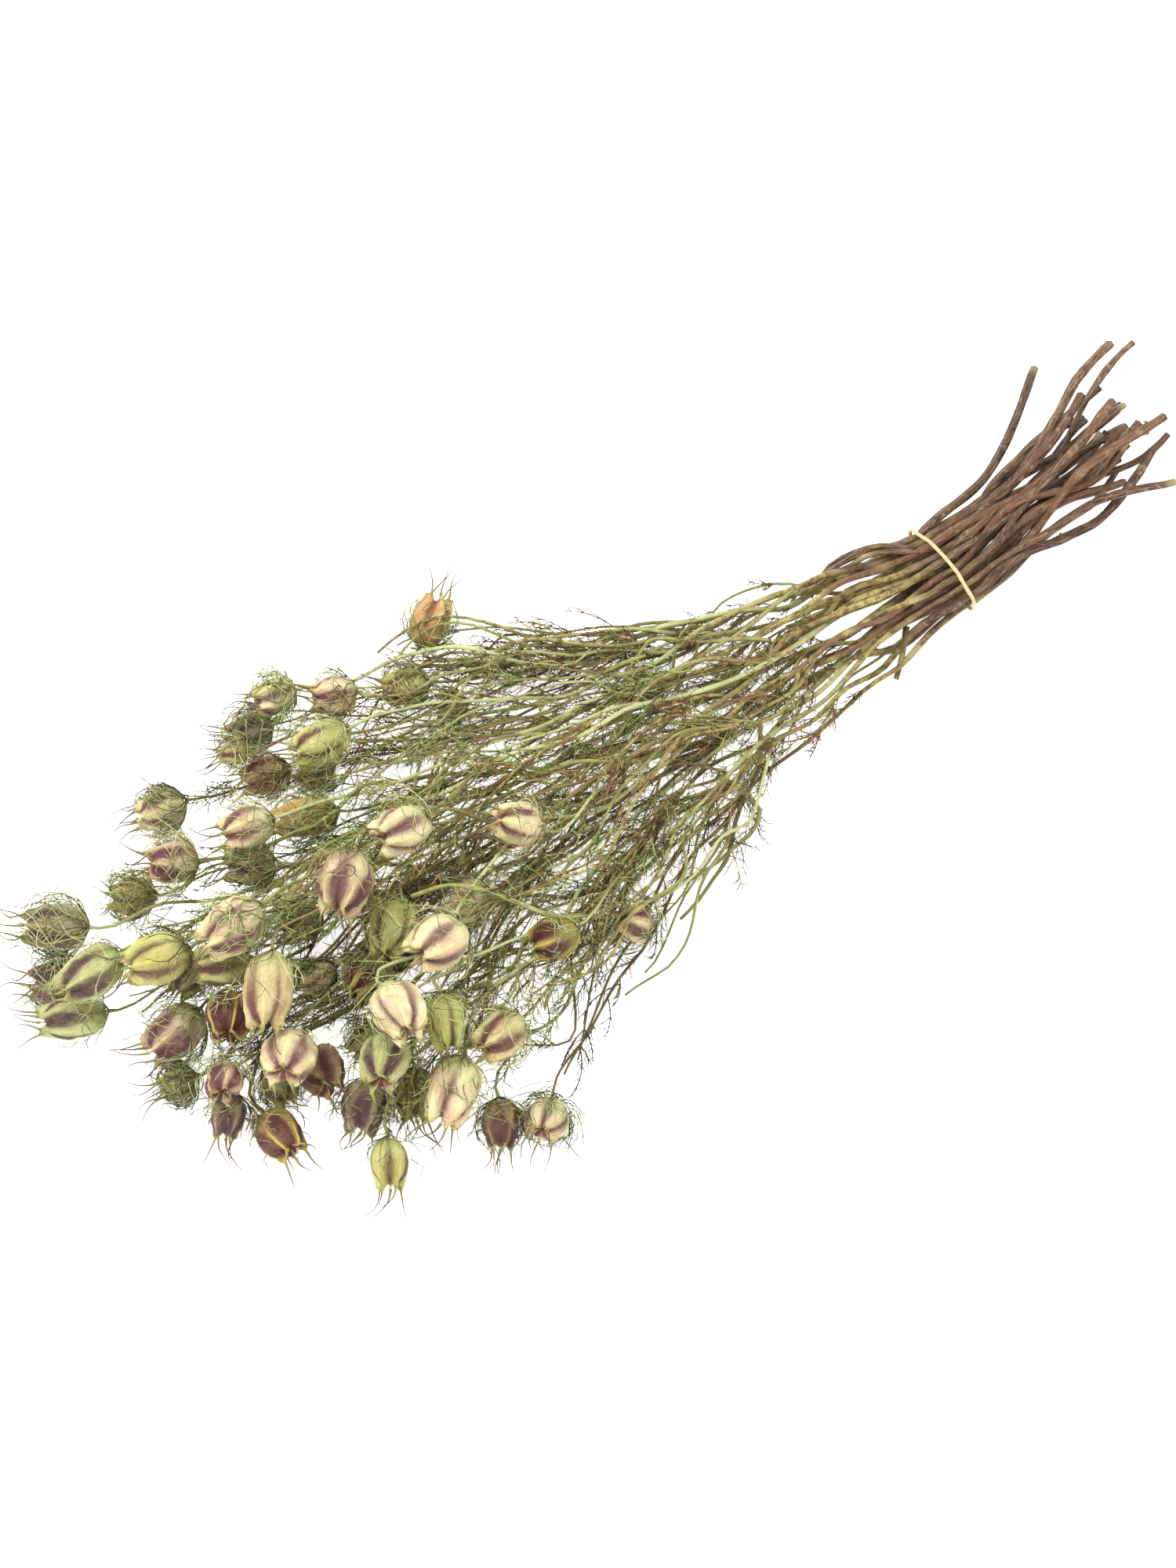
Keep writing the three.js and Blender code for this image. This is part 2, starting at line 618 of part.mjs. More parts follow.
// The tips of the five horns, each leaning out and kept clear of everything near the pod
function hornTips(pod, surroundings, random) {
  const [u, v] = sidesOf(pod);
  const tips = [];
  for (let k = 0; k < POD_COLUMNS; k += 2) {
    const angle = pod.turn + (2 * Math.PI * k) / POD_COLUMNS;
    const out = u.clone().multiplyScalar(Math.cos(angle)).addScaledVector(v, Math.sin(angle));
    const root = pod.centre.clone()
      .addScaledVector(pod.axis, 0.42 * pod.length)
      .addScaledVector(out, pod.width * 0.24);
    let tip = root.clone().addScaledVector(pod.axis, 1.2).addScaledVector(out, 0.6);
    for (let attempt = 0; attempt < TRIES; attempt += 1) {
      const size = HORN_LENGTH * (0.75 + 0.6 * random()) * (1 - (0.75 * attempt) / TRIES);
      const lean = 0.1 + 0.7 * random();
      const trial = root.clone().addScaledVector(pod.axis, size).addScaledVector(out, lean * size * 0.5);
      if (surroundings.clear([root, trial], HORN_RADIUS, pod.node)) {
        tip = trial;
        break;
      }
    }
    surroundings.add([root, tip], HORN_RADIUS, pod.node);
    tips.push(tip);
  }
  return tips;
}

// A bract starts on the stem under a pod and arches up around it
function bractLine(pod, angle, random) {
  const [u, v] = sidesOf(pod);
  const out = u.clone().multiplyScalar(Math.cos(angle)).addScaledVector(v, Math.sin(angle));
  const at = (height, reach) => pod.centre.clone()
    .addScaledVector(pod.axis, height * pod.length)
    .addScaledVector(out, reach);
  const room = pod.width / 2 + 1.3 + 2.2 * random();
  const root = at(-0.5, 0).addScaledVector(pod.axis, -POD_GAP - 2.5);
  return [root, at(-0.2, room), at(0.3 + 0.25 * random(), room * (0.9 + 0.5 * random()))];
}

// A leaf is a thread off a stem, bent towards the pods
function leafLine(stem, random) {
  const count = stem.points.length;
  const k = Math.min(count - 3, Math.floor(random() * (count - 2)));
  const root = stem.points[k].clone().lerp(stem.points[k + 1], random());
  const along = stem.points[k + 1].clone().sub(stem.points[k]).normalize();
  const around = vec(random() - 0.5, random() - 0.5, random() - 0.35);
  const out = around.addScaledVector(along, -around.dot(along)).normalize();
  const size = 18 + 22 * random();
  const middle = root.clone().addScaledVector(out, 0.42 * size).addScaledVector(along, 0.38 * size);
  const tip = middle.clone().addScaledVector(out, 0.18 * size).addScaledVector(along, 0.5 * size);
  tip.z -= 0.1 * size;
  return [root, middle, tip];
}

// A string drawn tight round the stems: the line that the outermost stems hold it to
function tieSolid() {
  const slots = bundleSlots();
  const reach = BUNDLE_RADIUS + TOUCH_GAP;
  const rings = [];
  const corner = (x, [y, z], [ny, nz], distance) => vec(x, y + ny * distance, z + nz * distance);
  for (let k = 0; k < TIE_STEPS; k += 1) {
    const angle = (2 * Math.PI * k) / TIE_STEPS;
    const normal = [Math.sin(angle), Math.cos(angle)];
    const support = ([y, z]) => y * normal[0] + z * normal[1];
    const onward = ([y, z]) => y * normal[1] - z * normal[0];
    const furthest = Math.max(...slots.map(support));
    const held = slots.filter((slot) => support(slot) > furthest - 1e-6);
    held.sort((a, b) => onward(a) - onward(b));
    new Set([held[0], held[held.length - 1]]).forEach((slot) => {
      const half = TIE_WIDTH / 2;
      const outside = reach + TIE_THICKNESS;
      const places = [[-half, reach], [-half, outside], [half, outside], [half, reach]];
      rings.push(places.map(([x, distance]) => corner(x, slot, normal, distance)));
    });
  }
  return rings;
}

// The tie's rings joined into a closed loop, with its lowest face flat on the table
function closedLoop(rings) {
  const points = rings.flat();
  points.forEach((point) => {
    point.z = Math.max(point.z, 0);
  });
  const triangles = [];
  const total = rings.length * 4;
  for (let ring = 0; ring < rings.length; ring += 1) {
    for (let k = 0; k < 4; k += 1) {
      const a = ring * 4 + k;
      const b = ring * 4 + ((k + 1) % 4);
      const c = (b + 4) % total;
      const d = (a + 4) % total;
      triangles.push(a, b, c, a, c, d);
    }
  }
  return new Manifold(new SolidMesh({
    numProp: 3,
    vertProperties: new Float32Array(points.flatMap((point) => point.toArray())),
    triVerts: new Uint32Array(triangles),
  }));
}

function meshOf(solid, name, colour, roughness) {
  const { vertProperties, triVerts } = solid.getMesh();
  const geometry = new THREE.BufferGeometry();
  geometry.setAttribute('position', new THREE.BufferAttribute(vertProperties, 3));
  geometry.setIndex(new THREE.BufferAttribute(triVerts, 1));
  geometry.computeVertexNormals();
  const material = new THREE.MeshStandardMaterial({ color: colour, roughness, metalness: 0 });
  const mesh = new THREE.Mesh(geometry, material);
  mesh.name = name;
  return mesh;
}

// Everything below the table plane is cut off flat
const onTable = (solid) => solid.trimByPlane([0, 0, 1], 0);

function buildBunch() {
  const random = makeRandom(7);
  const pods = makePods();
  spreadPods(pods);
  const mains = makeMains(pods, random);
  const stems = [...mains, ...makeBranches(pods, mains, random), ...makeShoots(mains)];
  settleStems(stems, pods);
  const bearers = stems.filter((stem) => stem.pod);

  const surroundings = new Surroundings(pods);
  const nodeOf = (stem) => `stems_${stem.column + 1}`;
  bearers.forEach((stem) => {
    stem.pod.node = stem.pod.role === 'small' ? nodeOf(stem) : stem.pod.name;
    stem.pod.turn = stem.pod.resting ? Math.PI : 2 * Math.PI * random();
  });
  stems.forEach((stem) => {
    for (let k = 0; k + 1 < stem.points.length; k += 1) {
      surroundings.add([stem.points[k], stem.points[k + 1]], radiusOf(stem, k), nodeOf(stem));
    }
  });

  const solids = new Map();
  const put = (node, solid) => solids.set(node, [...(solids.get(node) ?? []), solid]);
  stems.forEach((stem) => put(nodeOf(stem), stemSolid(stem)));
  bearers.forEach(({ pod }) => {
    put(pod.node, podSolid(pod, hornTips(pod, surroundings, random)));
  });
  const grow = (stem, draw) => {
    for (let attempt = 0; attempt < TRIES; attempt += 1) {
      const line = draw();
      if (surroundings.clear(line, THREAD_RADIUS, nodeOf(stem))) {
        surroundings.add(line, THREAD_RADIUS, nodeOf(stem));
        put(nodeOf(stem), threadSolid(line, THREAD_RADIUS));
        return;
      }
    }
  };
  bearers.forEach((stem) => {
    for (let k = 0; k < BRACTS_PER_POD; k += 1) {
      grow(stem, () => bractLine(stem.pod, (2 * Math.PI * (k + random())) / BRACTS_PER_POD, random));
    }
  });
  for (let k = 0; k < LEAF_COUNT; k += 1) {
    const stem = bearers[Math.floor(random() * bearers.length)];
    grow(stem, () => {
      let line = leafLine(stem, random);
      while (line[0].x > LEAF_START || line[0].x < LEAF_END) {
        line = leafLine(stem, random);
      }
      return line;
    });
  }

  const group = new THREE.Group();
  group.add(meshOf(closedLoop(tieSolid()), 'tie', COLOURS.tie, 0.7));
  const colourOf = new Map(pods.map((pod) => [pod.name, COLOURS[pod.colour]]));
  [...solids.keys()].sort().forEach((node) => {
    const joined = onTable(Manifold.union(solids.get(node))).simplify(0.02);
    group.add(meshOf(joined, node, colourOf.get(node) ?? COLOURS.stem, 0.75));
  });
  const box = new THREE.Box3().setFromObject(group);
  const middle = box.getCenter(vec(0, 0, 0));
  group.position.set(-middle.x, -middle.y, 0);
  return group;
}

export default buildBunch();
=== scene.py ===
import json
import math

import bpy
import numpy as np
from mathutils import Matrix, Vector, noise

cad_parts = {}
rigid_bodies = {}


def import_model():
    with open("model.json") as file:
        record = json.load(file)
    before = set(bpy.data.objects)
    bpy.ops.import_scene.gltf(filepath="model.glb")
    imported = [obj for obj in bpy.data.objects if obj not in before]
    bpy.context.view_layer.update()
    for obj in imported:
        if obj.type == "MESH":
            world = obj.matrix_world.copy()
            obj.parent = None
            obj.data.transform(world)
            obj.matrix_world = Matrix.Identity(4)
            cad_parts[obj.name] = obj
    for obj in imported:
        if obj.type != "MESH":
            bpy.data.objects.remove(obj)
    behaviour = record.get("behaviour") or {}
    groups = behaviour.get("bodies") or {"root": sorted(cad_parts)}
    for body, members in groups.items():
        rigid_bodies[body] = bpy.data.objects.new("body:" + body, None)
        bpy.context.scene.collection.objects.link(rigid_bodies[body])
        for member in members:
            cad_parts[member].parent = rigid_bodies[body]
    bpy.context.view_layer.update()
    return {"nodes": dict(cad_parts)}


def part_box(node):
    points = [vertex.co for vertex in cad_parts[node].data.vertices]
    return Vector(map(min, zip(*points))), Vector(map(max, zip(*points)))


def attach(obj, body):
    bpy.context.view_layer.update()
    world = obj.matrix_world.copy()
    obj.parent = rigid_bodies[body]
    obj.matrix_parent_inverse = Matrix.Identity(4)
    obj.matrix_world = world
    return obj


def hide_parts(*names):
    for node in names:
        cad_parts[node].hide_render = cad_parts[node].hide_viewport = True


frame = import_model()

# A tied bunch of dried love-in-a-mist seed pods. Sizes below are in millimetres, and the bunch is laid
# out by the same rule as its solids, with the tie at x = 0. The tie's box then gives the row's frame.

# Tie and bundle
TIE_WIDTH = 1.8
TIE_THICKNESS = 1.2
TOUCH_GAP = 0.35
BUNDLE_RADIUS = 2.4
COLUMN_SIZES = [2, 3, 4, 3, 4, 3, 4, 3, 2]
COLUMN_PITCH = 4.75
STACK_PITCH = 4.2
TIE_STRAIGHT = 4
LOWEST_STEM = TIE_THICKNESS + TOUCH_GAP + BUNDLE_RADIUS
BUNDLE_HEIGHT = LOWEST_STEM + STACK_PITCH * 1.5

# Stems
STATION_STEP = 44
TIP_RADIUS = 2.15
MIDDLE_RADIUS = 1.75
PEDICEL_RADIUS = 1.05
MIDDLE_DISTANCE = 90
HOOK_LENGTH = 11
SMALL_SUNK = -1.5           # a small pod's stem runs this far into it, and others end at the gap
CLEARANCE = 0.5
SETTLE_STEPS = 90
SETTLE_SHARE = 0.45         # share of each push that a settling stem follows
LONGEST_MOVE = 2
GOAL_PULL = 0.08
REACH = 30                  # stems further apart than this never meet
TENSION = 0.42              # of the smooth lines through the stems' points
FLOOR_GAP = 0.02            # nothing comes closer to the table

# Pods
POD_GAP = 0.35
RESTING_SHARE = 0.97        # of the listed height, for a pod that rests on the table
POD_MARGIN = 0.6            # room that a pod keeps from stems and the table
POD_NEAR = 40               # pods further apart than this never touch

# Each pod: centre, heading and lift of its axis, length, width, colour, stem, and how closely its
# bracts wrap it, from 0 to 1
PODS = [
    [-404, 62, 24, 146, 5, 24, 21, "purple", "main", 0.8],
    [-413, 47, 9.7, 149, -2, 23, 20, "purple", "branch", 0.85],
    [-405, 27, 42, -177, -3, 27, 20, "green", "main", 0.12],
    [-418, 27, 16, 156, -1, 26, 19, "green", "branch", 0.12],
    [-384, 15, 48, 167, 5, 25, 22, "lime", "main", 0.12],
    [-354, 2, 64, -179, -8, 26, 22, "blush", "main", 0.4],
    [-362, 0, 41, 164, 12, 21, 19, "lime", "branch", 0.4],
    [-373, 10, 26, -159, -10, 18, 15, "green", "branch", 0.5],
    [-387, -1, 17, -175, -15, 25, 22, "pink", "main", 0.5],
    [-369, -13, 29, -125, 10, 20, 19, "dark", "branch", 0.15],
    [-356, -27, 52, -130, -25, 29, 22, "tan", "main", 0.05],
    [-361, -44, 38, -131, 30, 24, 23, "cream", "main", 0.03],
    [-350, -50, 17, -103, 18, 21, 20, "brown", "main", 0.1],
    [-397, -17, 6.7, 167, -1, 14, 14, "olive", "branch", 0.85],
    [-386, -36, 27, -128, 25, 18, 17, "pink", "branch", 0.2],
    [-389, -41, 7.7, -134, -15, 17, 16, "purple", "branch", 0.25],
    [-377, -60, 9.7, -91, 10, 21, 20, "dark", "main", 0.15],
    [-366, -42, 9, -97, -6, 16, 14, "olive", "small", 0.6],
    [-354, 51, 42, 158, 21, 20, 19, "pink", "main", 0.6],
    [-323, 42, 52, 170, 3, 21, 19, "cream", "main", 0.4],
    [-326, 38, 29, 152, 2, 20, 17, "purple", "branch", 0.6],
    [-337, 93, 8.2, 167, -1, 20, 17, "cream", "main", 0.75],
    [-370, 60, 16, 149, -2, 18, 16, "olive", "small", 0.85],
    [-275, 100, 30, 177, 17, 18, 17, "cream", "main", 0.75],
    [-286, 104, 7.7, 162, -5, 18, 16, "purple", "branch", 0.7],
    [-254, 87, 29, 164, 12, 18, 17, "blush", "main", 0.4],
    [-274, 64, 42, 169, -8, 23, 19, "lime", "main", 0.5],
    [-296, 74, 22, 162, -10, 19, 16, "brown", "branch", 0.6],
    [-276, 69, 10, 172, -14, 16, 14, "brown", "small", 0.6],
    [-303, 88, 27, 169, 21, 11, 10, "tan", "branch", 0.5],
    [-294, 46, 26, 154, -5, 25, 17, "orange", "main", 0.6],
    [-224, 78, 20, 154, -5, 18, 16, "lime", "branch", 0.8],
    [-201, 95, 27, 31, 33, 21, 18, "orange", "main", 0.4],
    [-211, 64, 10, 162, -10, 13, 11, "tan", "small", 0.6],
    [-278, -4, 72, -177, 19, 23, 22, "cream", "main", 0.3],
    [-236, -23, 61, 153, 31, 20, 19, "cream", "main", 0.4],
    [-309, -10, 71, -139, -4, 26, 23, "pink", "main", 0.3],
    [-297, -23, 42, -141, -24, 23, 20, "lime", "branch", 0.5],
    [-292, -50, 64, -169, 15, 24, 22, "cream", "main", 0.3],
    [-266, -32, 42, -175, -10, 17, 16, "blush", "branch", 0.7],
    [-279, -10, 34, 162, -10, 12, 11, "purple", "small", 0.6],
    [-244, -60, 31, 169, -8, 20, 18, "dark", "main", 0.15],
    [-210, -67, 16, 157, 47, 17, 16, "cream", "branch", 0.6],
    [-312, -27, 22, -162, -4, 20, 17, "dark", "main", 0.7],
    [-322, 8, 22, 172, -14, 18, 15, "brown", "small", 0.6],
    [-322, -66, 64, -102, 13, 25, 23, "cream", "main", 0.2],
    [-303, -70, 40, -115, -15, 22, 18, "lime", "branch", 0.4],
    [-287, -84, 32, -171, 11, 22, 21, "tan", "main", 0.45],
    [-332, -70, 38, -132, 20, 24, 23, "green", "main", 0.15],
    [-343, -68, 9.2, -134, -20, 21, 19, "purple", "branch", 0.3],
    [-314, -90, 25, -147, -23, 27, 22, "cream", "main", 0.2],
    [-323, -76, 8.2, -123, -20, 20, 17, "olive", "branch", 0.25],
    [-326, -46, 10, -179, -19, 15, 13, "olive", "small", 0.6],
    [-302, -106, 7.7, -123, -10, 19, 16, "brown", "branch", 0.5],
    [-287, -115, 8.8, -142, 25, 18, 18, "cream", "main", 0.6],
    [-348, -95, 8.2, -123, -15, 19, 17, "lime", "branch", 0.03],
    [-328, -12, 12, -179, -10, 16, 14, "tan", "small", 0.6],
]

# Cut ends that stray from the bundle, by the stem's rank
STRAY_TIPS = {
    0: [106, -24, 14],
    3: [118, -2, 26],
    20: [131, 28, 24],
    24: [128, 44, 18],
    27: [101, 62, 10],
}
TIP_STATIONS = [0.66, 0.33]
TIP_START = 90
TIP_RANGE = 34
TIP_LOWEST = 2.6
TIP_JITTER = [9, 6]         # across and up
TIP_DRIFT = 0.13
TIP_SPREAD = 1.2
RISE_CURVE = 1.3
FAN_CURVE = 2.2             # above 1, the stems stay bundled and then spread
HOOK_ROOM = 15              # the last station keeps this far from a pod's hook
WAVER = 9
SMOOTHING = 0.03
BRANCH_JOIN = [0.5, 0.18]   # where a side shoot leaves its parent: least share of the way, and its range
BRANCH_SAG = 3
DETOURS = {"pod_35": [-240, -28, 54]}

# Dry side shoots that have lost their pods: radius at both ends, then the points of each
SHOOTS = [
    [1.6, 0.7, [[-6, 9, 18], [-17, 17, 20], [-27, 24, 21], [-40, 32, 18], [-52, 31, 8], [-63, 26, 3]]],
    [1.6, 1.0, [[-7, 12, 15], [-18, 22, 14], [-28, 29, 11], [-38, 31, 7], [-52, 24, 4]]],
    [1.1, 0.8, [[-88, 6, 24], [-102, 17, 34], [-118, 28, 37], [-131, 33, 29], [-143, 32, 18]]],
    [1.0, 0.8, [[-126, 26, 20], [-138, 39, 27], [-149, 47, 24], [-160, 52, 14]]],
    [1.2, 0.9, [[-153, -14, 30], [-171, -27, 37], [-184, -25, 38], [-196, -14, 40], [-210, 2, 44],
                [-232, 20, 44]]],
    [1.2, 0.8, [[-140, -26, 16], [-136, -42, 11], [-134, -55, 6], [-145, -62, 3], [-161, -60, 3],
                [-178, -56, 5]]],
    [1.1, 0.8, [[-112, -20, 16], [-124, -38, 9], [-148, -56, 4], [-172, -66, 4], [-190, -72, 6]]],
    [1.4, 1.2, [[-31, -17, 9], [-40, -25, 6], [-47, -30, 4]]],
    [1.3, 1.1, [[-158, -42, 12], [-150, -55, 8]]],
    [1.1, 0.9, [[-220, -62, 26], [-244, -57, 46], [-261, -44, 60], [-274, -33, 62], [-288, -24, 57]]],
]

# Pods whose dry skin has caved in, with the size of the dents
CRUMPLED = {
    "pod_11": 0.07,
    "pod_13": 0.20,
    "pod_15": 0.26,
    "pod_38": 0.22,
    "pod_48": 0.12,
    "pod_47": 0.12,
    "pod_37": 0.10,
    "pod_09": 0.09,
}

# Camera: the photograph's direction and framing, as a point on the floor under the picture's centre
CAMERA_AZIMUTH = -35
CAMERA_ELEVATION = 60
CAMERA_DISTANCE = 1600
CAMERA_LENS = 87.55
CAMERA_TARGET = (-182.5, 4.9, 0)

FLOOR_SIZE = 12             # metres, like the drop and the lamps' places
FLOOR_DROP = 0.0002
FLOOR_GLOW = 0.75
SKY_STRENGTH = 0.95

# Lamps: name, place in metres, size, power
LAMPS = [
    ["key", (-0.5, 0.4, 1.6), 1.1, 28],
    ["fill", (0.9, -0.9, 1.4), 1.4, 8],
]


# Repeatable random numbers from 0 to 1
def make_random(seed):
    state = seed

    def draw():
        nonlocal state
        state = (state * 1664525 + 1013904223) % 4294967296
        return state / 4294967296

    return draw


def lerp(a, b, share):
    return a * (1 - share) + b * share


def unit(vector):
    return vector / (np.linalg.norm(vector, axis=-1, keepdims=True) + 1e-9)


# Sums of the steps so far, from zero
def running(steps):
    return np.concatenate([[0], np.cumsum(steps)])


def lengths_along(line):
    return running(np.linalg.norm(np.diff(line, axis=0), axis=1))


def keep_above(points, least):
    points[..., 2] = np.maximum(points[..., 2], least)


# A ring of corners, as offsets along two directions
def ring_of(one, other, angle, reach):
    return one * (reach * np.cos(angle))[:, None] + other * (reach * np.sin(angle))[:, None]


# Map coordinates of a grid of points
def map_of(u, v):
    return np.stack(np.broadcast_arrays(u, v), -1).reshape(-1, 2)


class Pod:
    def __init__(self, index, row):
        x, y, z, heading, lift, self.length, self.width, self.colour, self.role, self.wrap = row
        heading, lift = math.radians(heading), math.radians(lift)
        level = math.cos(lift)
        self.name = f"pod_{index + 1:02d}"
        self.resting = z < self.width / 2
        self.centre = np.array([x, y, z * RESTING_SHARE if self.resting else z], float)
        self.axis = np.array([level * math.cos(heading), level * math.sin(heading), math.sin(lift)])
        self.turn = 0.0

    # Half size of the pod's ellipsoid along a direction
    def reach(self, direction):
        along = float(direction @ self.axis)
        across = math.sqrt(max(0.0, 1 - along * along))
        return math.hypot(along * (self.length / 2 + 1), across * (self.width / 2 + 0.4))

    # Two directions square to the axis
    def sides(self):
        across = np.array([0, 0, 1.0]) - self.axis * self.axis[2]
        across /= np.linalg.norm(across)
        return across, np.cross(self.axis, across)


class Stem:
    def __init__(self, pod, column, points, fixed=(), parent=None, join=0, share=0.0, taper=None):
        self.pod, self.column, self.points = pod, column, np.array(points, float)
        self.fixed, self.parent, self.join, self.share = list(fixed), parent, join, share
        self.taper = taper

    def radius(self, k):
        last = len(self.points) - 1
        if self.taper:
            return lerp(self.taper[0], self.taper[1], k / last)
        return radius_at(self.points[k][0], self.points[last][0])


# Pods that would touch are moved apart, and none goes below its resting height
def spread_pods(pods):
    rest = [pod.centre[2] for pod in pods]
    for _ in range(SETTLE_STEPS):
        for i, one in enumerate(pods):
            for two in pods[i + 1:]:
                between = two.centre - one.centre
                gap = math.sqrt(float(between @ between))
                if gap > POD_NEAR:
                    continue
                direction = between / gap
                need = one.reach(direction) + two.reach(direction) + 3 * POD_GAP
                if gap < need:
                    one.centre = one.centre + direction * ((gap - need) / 4)
                    two.centre = two.centre + direction * ((need - gap) / 4)
        for pod, height in zip(pods, rest):
            pod.centre[2] = height if pod.resting else max(pod.centre[2], pod.width / 2 + POD_MARGIN)


# A stem tapers from its cut end to the middle of the bunch and on to its pod
def radius_at(x, end_x):
    if x > TIE_STRAIGHT:
        return lerp(BUNDLE_RADIUS, TIP_RADIUS, min(1, (x - TIE_STRAIGHT) / MIDDLE_DISTANCE))
    if x >= -TIE_STRAIGHT:
        return BUNDLE_RADIUS
    if x > -MIDDLE_DISTANCE:
        return lerp(BUNDLE_RADIUS, MIDDLE_RADIUS, -x / MIDDLE_DISTANCE)
    share = (-x - MIDDLE_DISTANCE) / max(1, -end_x - MIDDLE_DISTANCE)
    return lerp(MIDDLE_RADIUS, PEDICEL_RADIUS, min(1, share))


def hook_of(pod):
    sunk = SMALL_SUNK if pod.role == "small" else POD_GAP
    end = pod.centre - pod.axis * (pod.length / 2 + sunk)
    start = end - pod.axis * HOOK_LENGTH
    start[2] = max(start[2], PEDICEL_RADIUS + 1)
    return start, end


def bundle_slots():
    slots = []
    for column, size in enumerate(COLUMN_SIZES):
        y = (column - (len(COLUMN_SIZES) - 1) / 2) * COLUMN_PITCH
        for row in range(size):
            slots.append((y, BUNDLE_HEIGHT + (row - (size - 1) / 2) * STACK_PITCH, column))
    return slots


# Main stems take their places in the order of the fan, and in a column from the lowest up
def make_mains(pods, random):
    mains = [pod for pod in pods if pod.role == "main"]
    mains.sort(key=lambda pod: math.atan2(pod.centre[1], -pod.centre[0]))
    ordered = []
    for size in COLUMN_SIZES:
        column = mains[len(ordered):len(ordered) + size]
        column.sort(key=lambda pod: pod.centre[2] / pod.centre[0])
        ordered += column[::-1]
    stems = []
    for rank, (pod, (y, z, column)) in enumerate(zip(ordered, bundle_slots())):
        start, end = hook_of(pod)
        tip_x = TIP_START + TIP_RANGE * random()
        tip_y = TIP_DRIFT * tip_x + TIP_SPREAD * y + TIP_JITTER[0] * (random() - 0.5)
        tip_z = TIP_LOWEST + (z - LOWEST_STEM) * TIP_SPREAD + TIP_JITTER[1] * random()
        tip = STRAY_TIPS.get(rank, [tip_x, tip_y, tip_z])
        points = [tip]
        for share in TIP_STATIONS:
            out = share ** RISE_CURVE
            points.append([lerp(TIE_STRAIGHT, tip[0], share), lerp(y, tip[1], out), lerp(z, tip[2], out)])
        fixed = [len(points), len(points) + 1]
        points += [[TIE_STRAIGHT, y, z], [-TIE_STRAIGHT, y, z]]
        goal = np.array(DETOURS[pod.name], float) if pod.name in DETOURS else start
        x = -TIE_STRAIGHT - STATION_STEP
        while x > goal[0] + HOOK_ROOM:
            share = x / goal[0]
            waver = WAVER * math.sin(math.pi * share)
            across_y = lerp(y, goal[1], share ** FAN_CURVE) + waver * (random() - 0.5)
            up_z = lerp(z, goal[2], share ** RISE_CURVE) + waver * (random() - 0.5)
            points.append([x, across_y, up_z])
            x -= STATION_STEP
        if goal is not start:
            points.append(goal)
        points += [start, end]
        stems.append(Stem(pod, column, points, fixed))
    return stems


# Each side shoot leaves the nearest main stem and runs to its own pod
def make_branches(pods, mains, random):
    stems = []
    for pod in pods:
        if pod.role == "main":
            continue
        parent = min(mains, key=lambda stem: float(np.linalg.norm(stem.pod.centre - pod.centre)))
        start, end = hook_of(pod)
        wanted = start[0] * (BRANCH_JOIN[0] + BRANCH_JOIN[1] * random())
        join = 5
        while join < len(parent.points) - 3 and parent.points[join][0] > wanted:
            join += 1
        root = parent.points[join].copy()
        count = max(1, math.floor((root[0] - start[0]) / STATION_STEP + 0.5))
        points = [root]
        for k in range(1, count):
            point = lerp(root, start, k / count)
            point[2] -= BRANCH_SAG * math.sin(math.pi * k / count)
            points.append(point)
        points += [start, end]
        stems.append(Stem(pod, parent.column, points, parent=parent, join=join))
    return stems


# A bare shoot leaves the stem that passes nearest to its first point
def make_shoots(mains):
    stems = []
    for thick, thin, places in SHOOTS:
        first = np.array(places[0], float)
        best = (math.inf, None, 0, 0.0)
        for stem in mains:
            for k in range(4, len(stem.points) - 2):
                share = float(nearest(stem.points[k], stem.points[k + 1], first, first)[0])
                gap = float(np.linalg.norm(lerp(stem.points[k], stem.points[k + 1], share) - first))
                if gap < best[0]:
                    best = (gap, stem, k, share)
        _, parent, join, share = best
        stems.append(Stem(None, parent.column, places, parent=parent, join=join, share=share,
                          taper=(thick, thin)))
    return stems


# Nearest points of straight pieces, as shares of each
def nearest(p1, q1, p2, q2):
    d1, d2, r = q1 - p1, q2 - p2, p1 - p2
    a = (d1 * d1).sum(-1) + 1e-9
    e = (d2 * d2).sum(-1) + 1e-9
    f = (d2 * r).sum(-1)
    c = (d1 * r).sum(-1)
    b = (d1 * d2).sum(-1)
    s = np.clip((b * f - c * e) / np.maximum(1e-9, a * e - b * b), 0, 1)
    t = np.clip((b * s + f) / e, 0, 1)
    return np.clip((b * t - c) / a, 0, 1), t


# Pairs of stem pieces that may meet. A side shoot may touch its own parent near its root.
def pairs_of(stems, owner, local, low, high):
    one, two = np.triu_indices(len(owner), 1)
    number = {id(stem): k for k, stem in enumerate(stems)}
    parent = np.array([number[id(stem.parent)] if stem.parent else -1 for stem in stems])
    a, b = owner[one], owner[two]
    related = (a == parent[b]) | ((parent[a] >= 0) & (parent[a] == parent[b]))
    skip = (a == b) | (related & (local[two] < 2)) | (related & (local[one] < 2) & (parent[a] >= 0))
    far = (low[one] - REACH > high[two]).any(1) | (high[one] + REACH < low[two]).any(1)
    keep = ~(skip | far)
    return one[keep], two[keep]


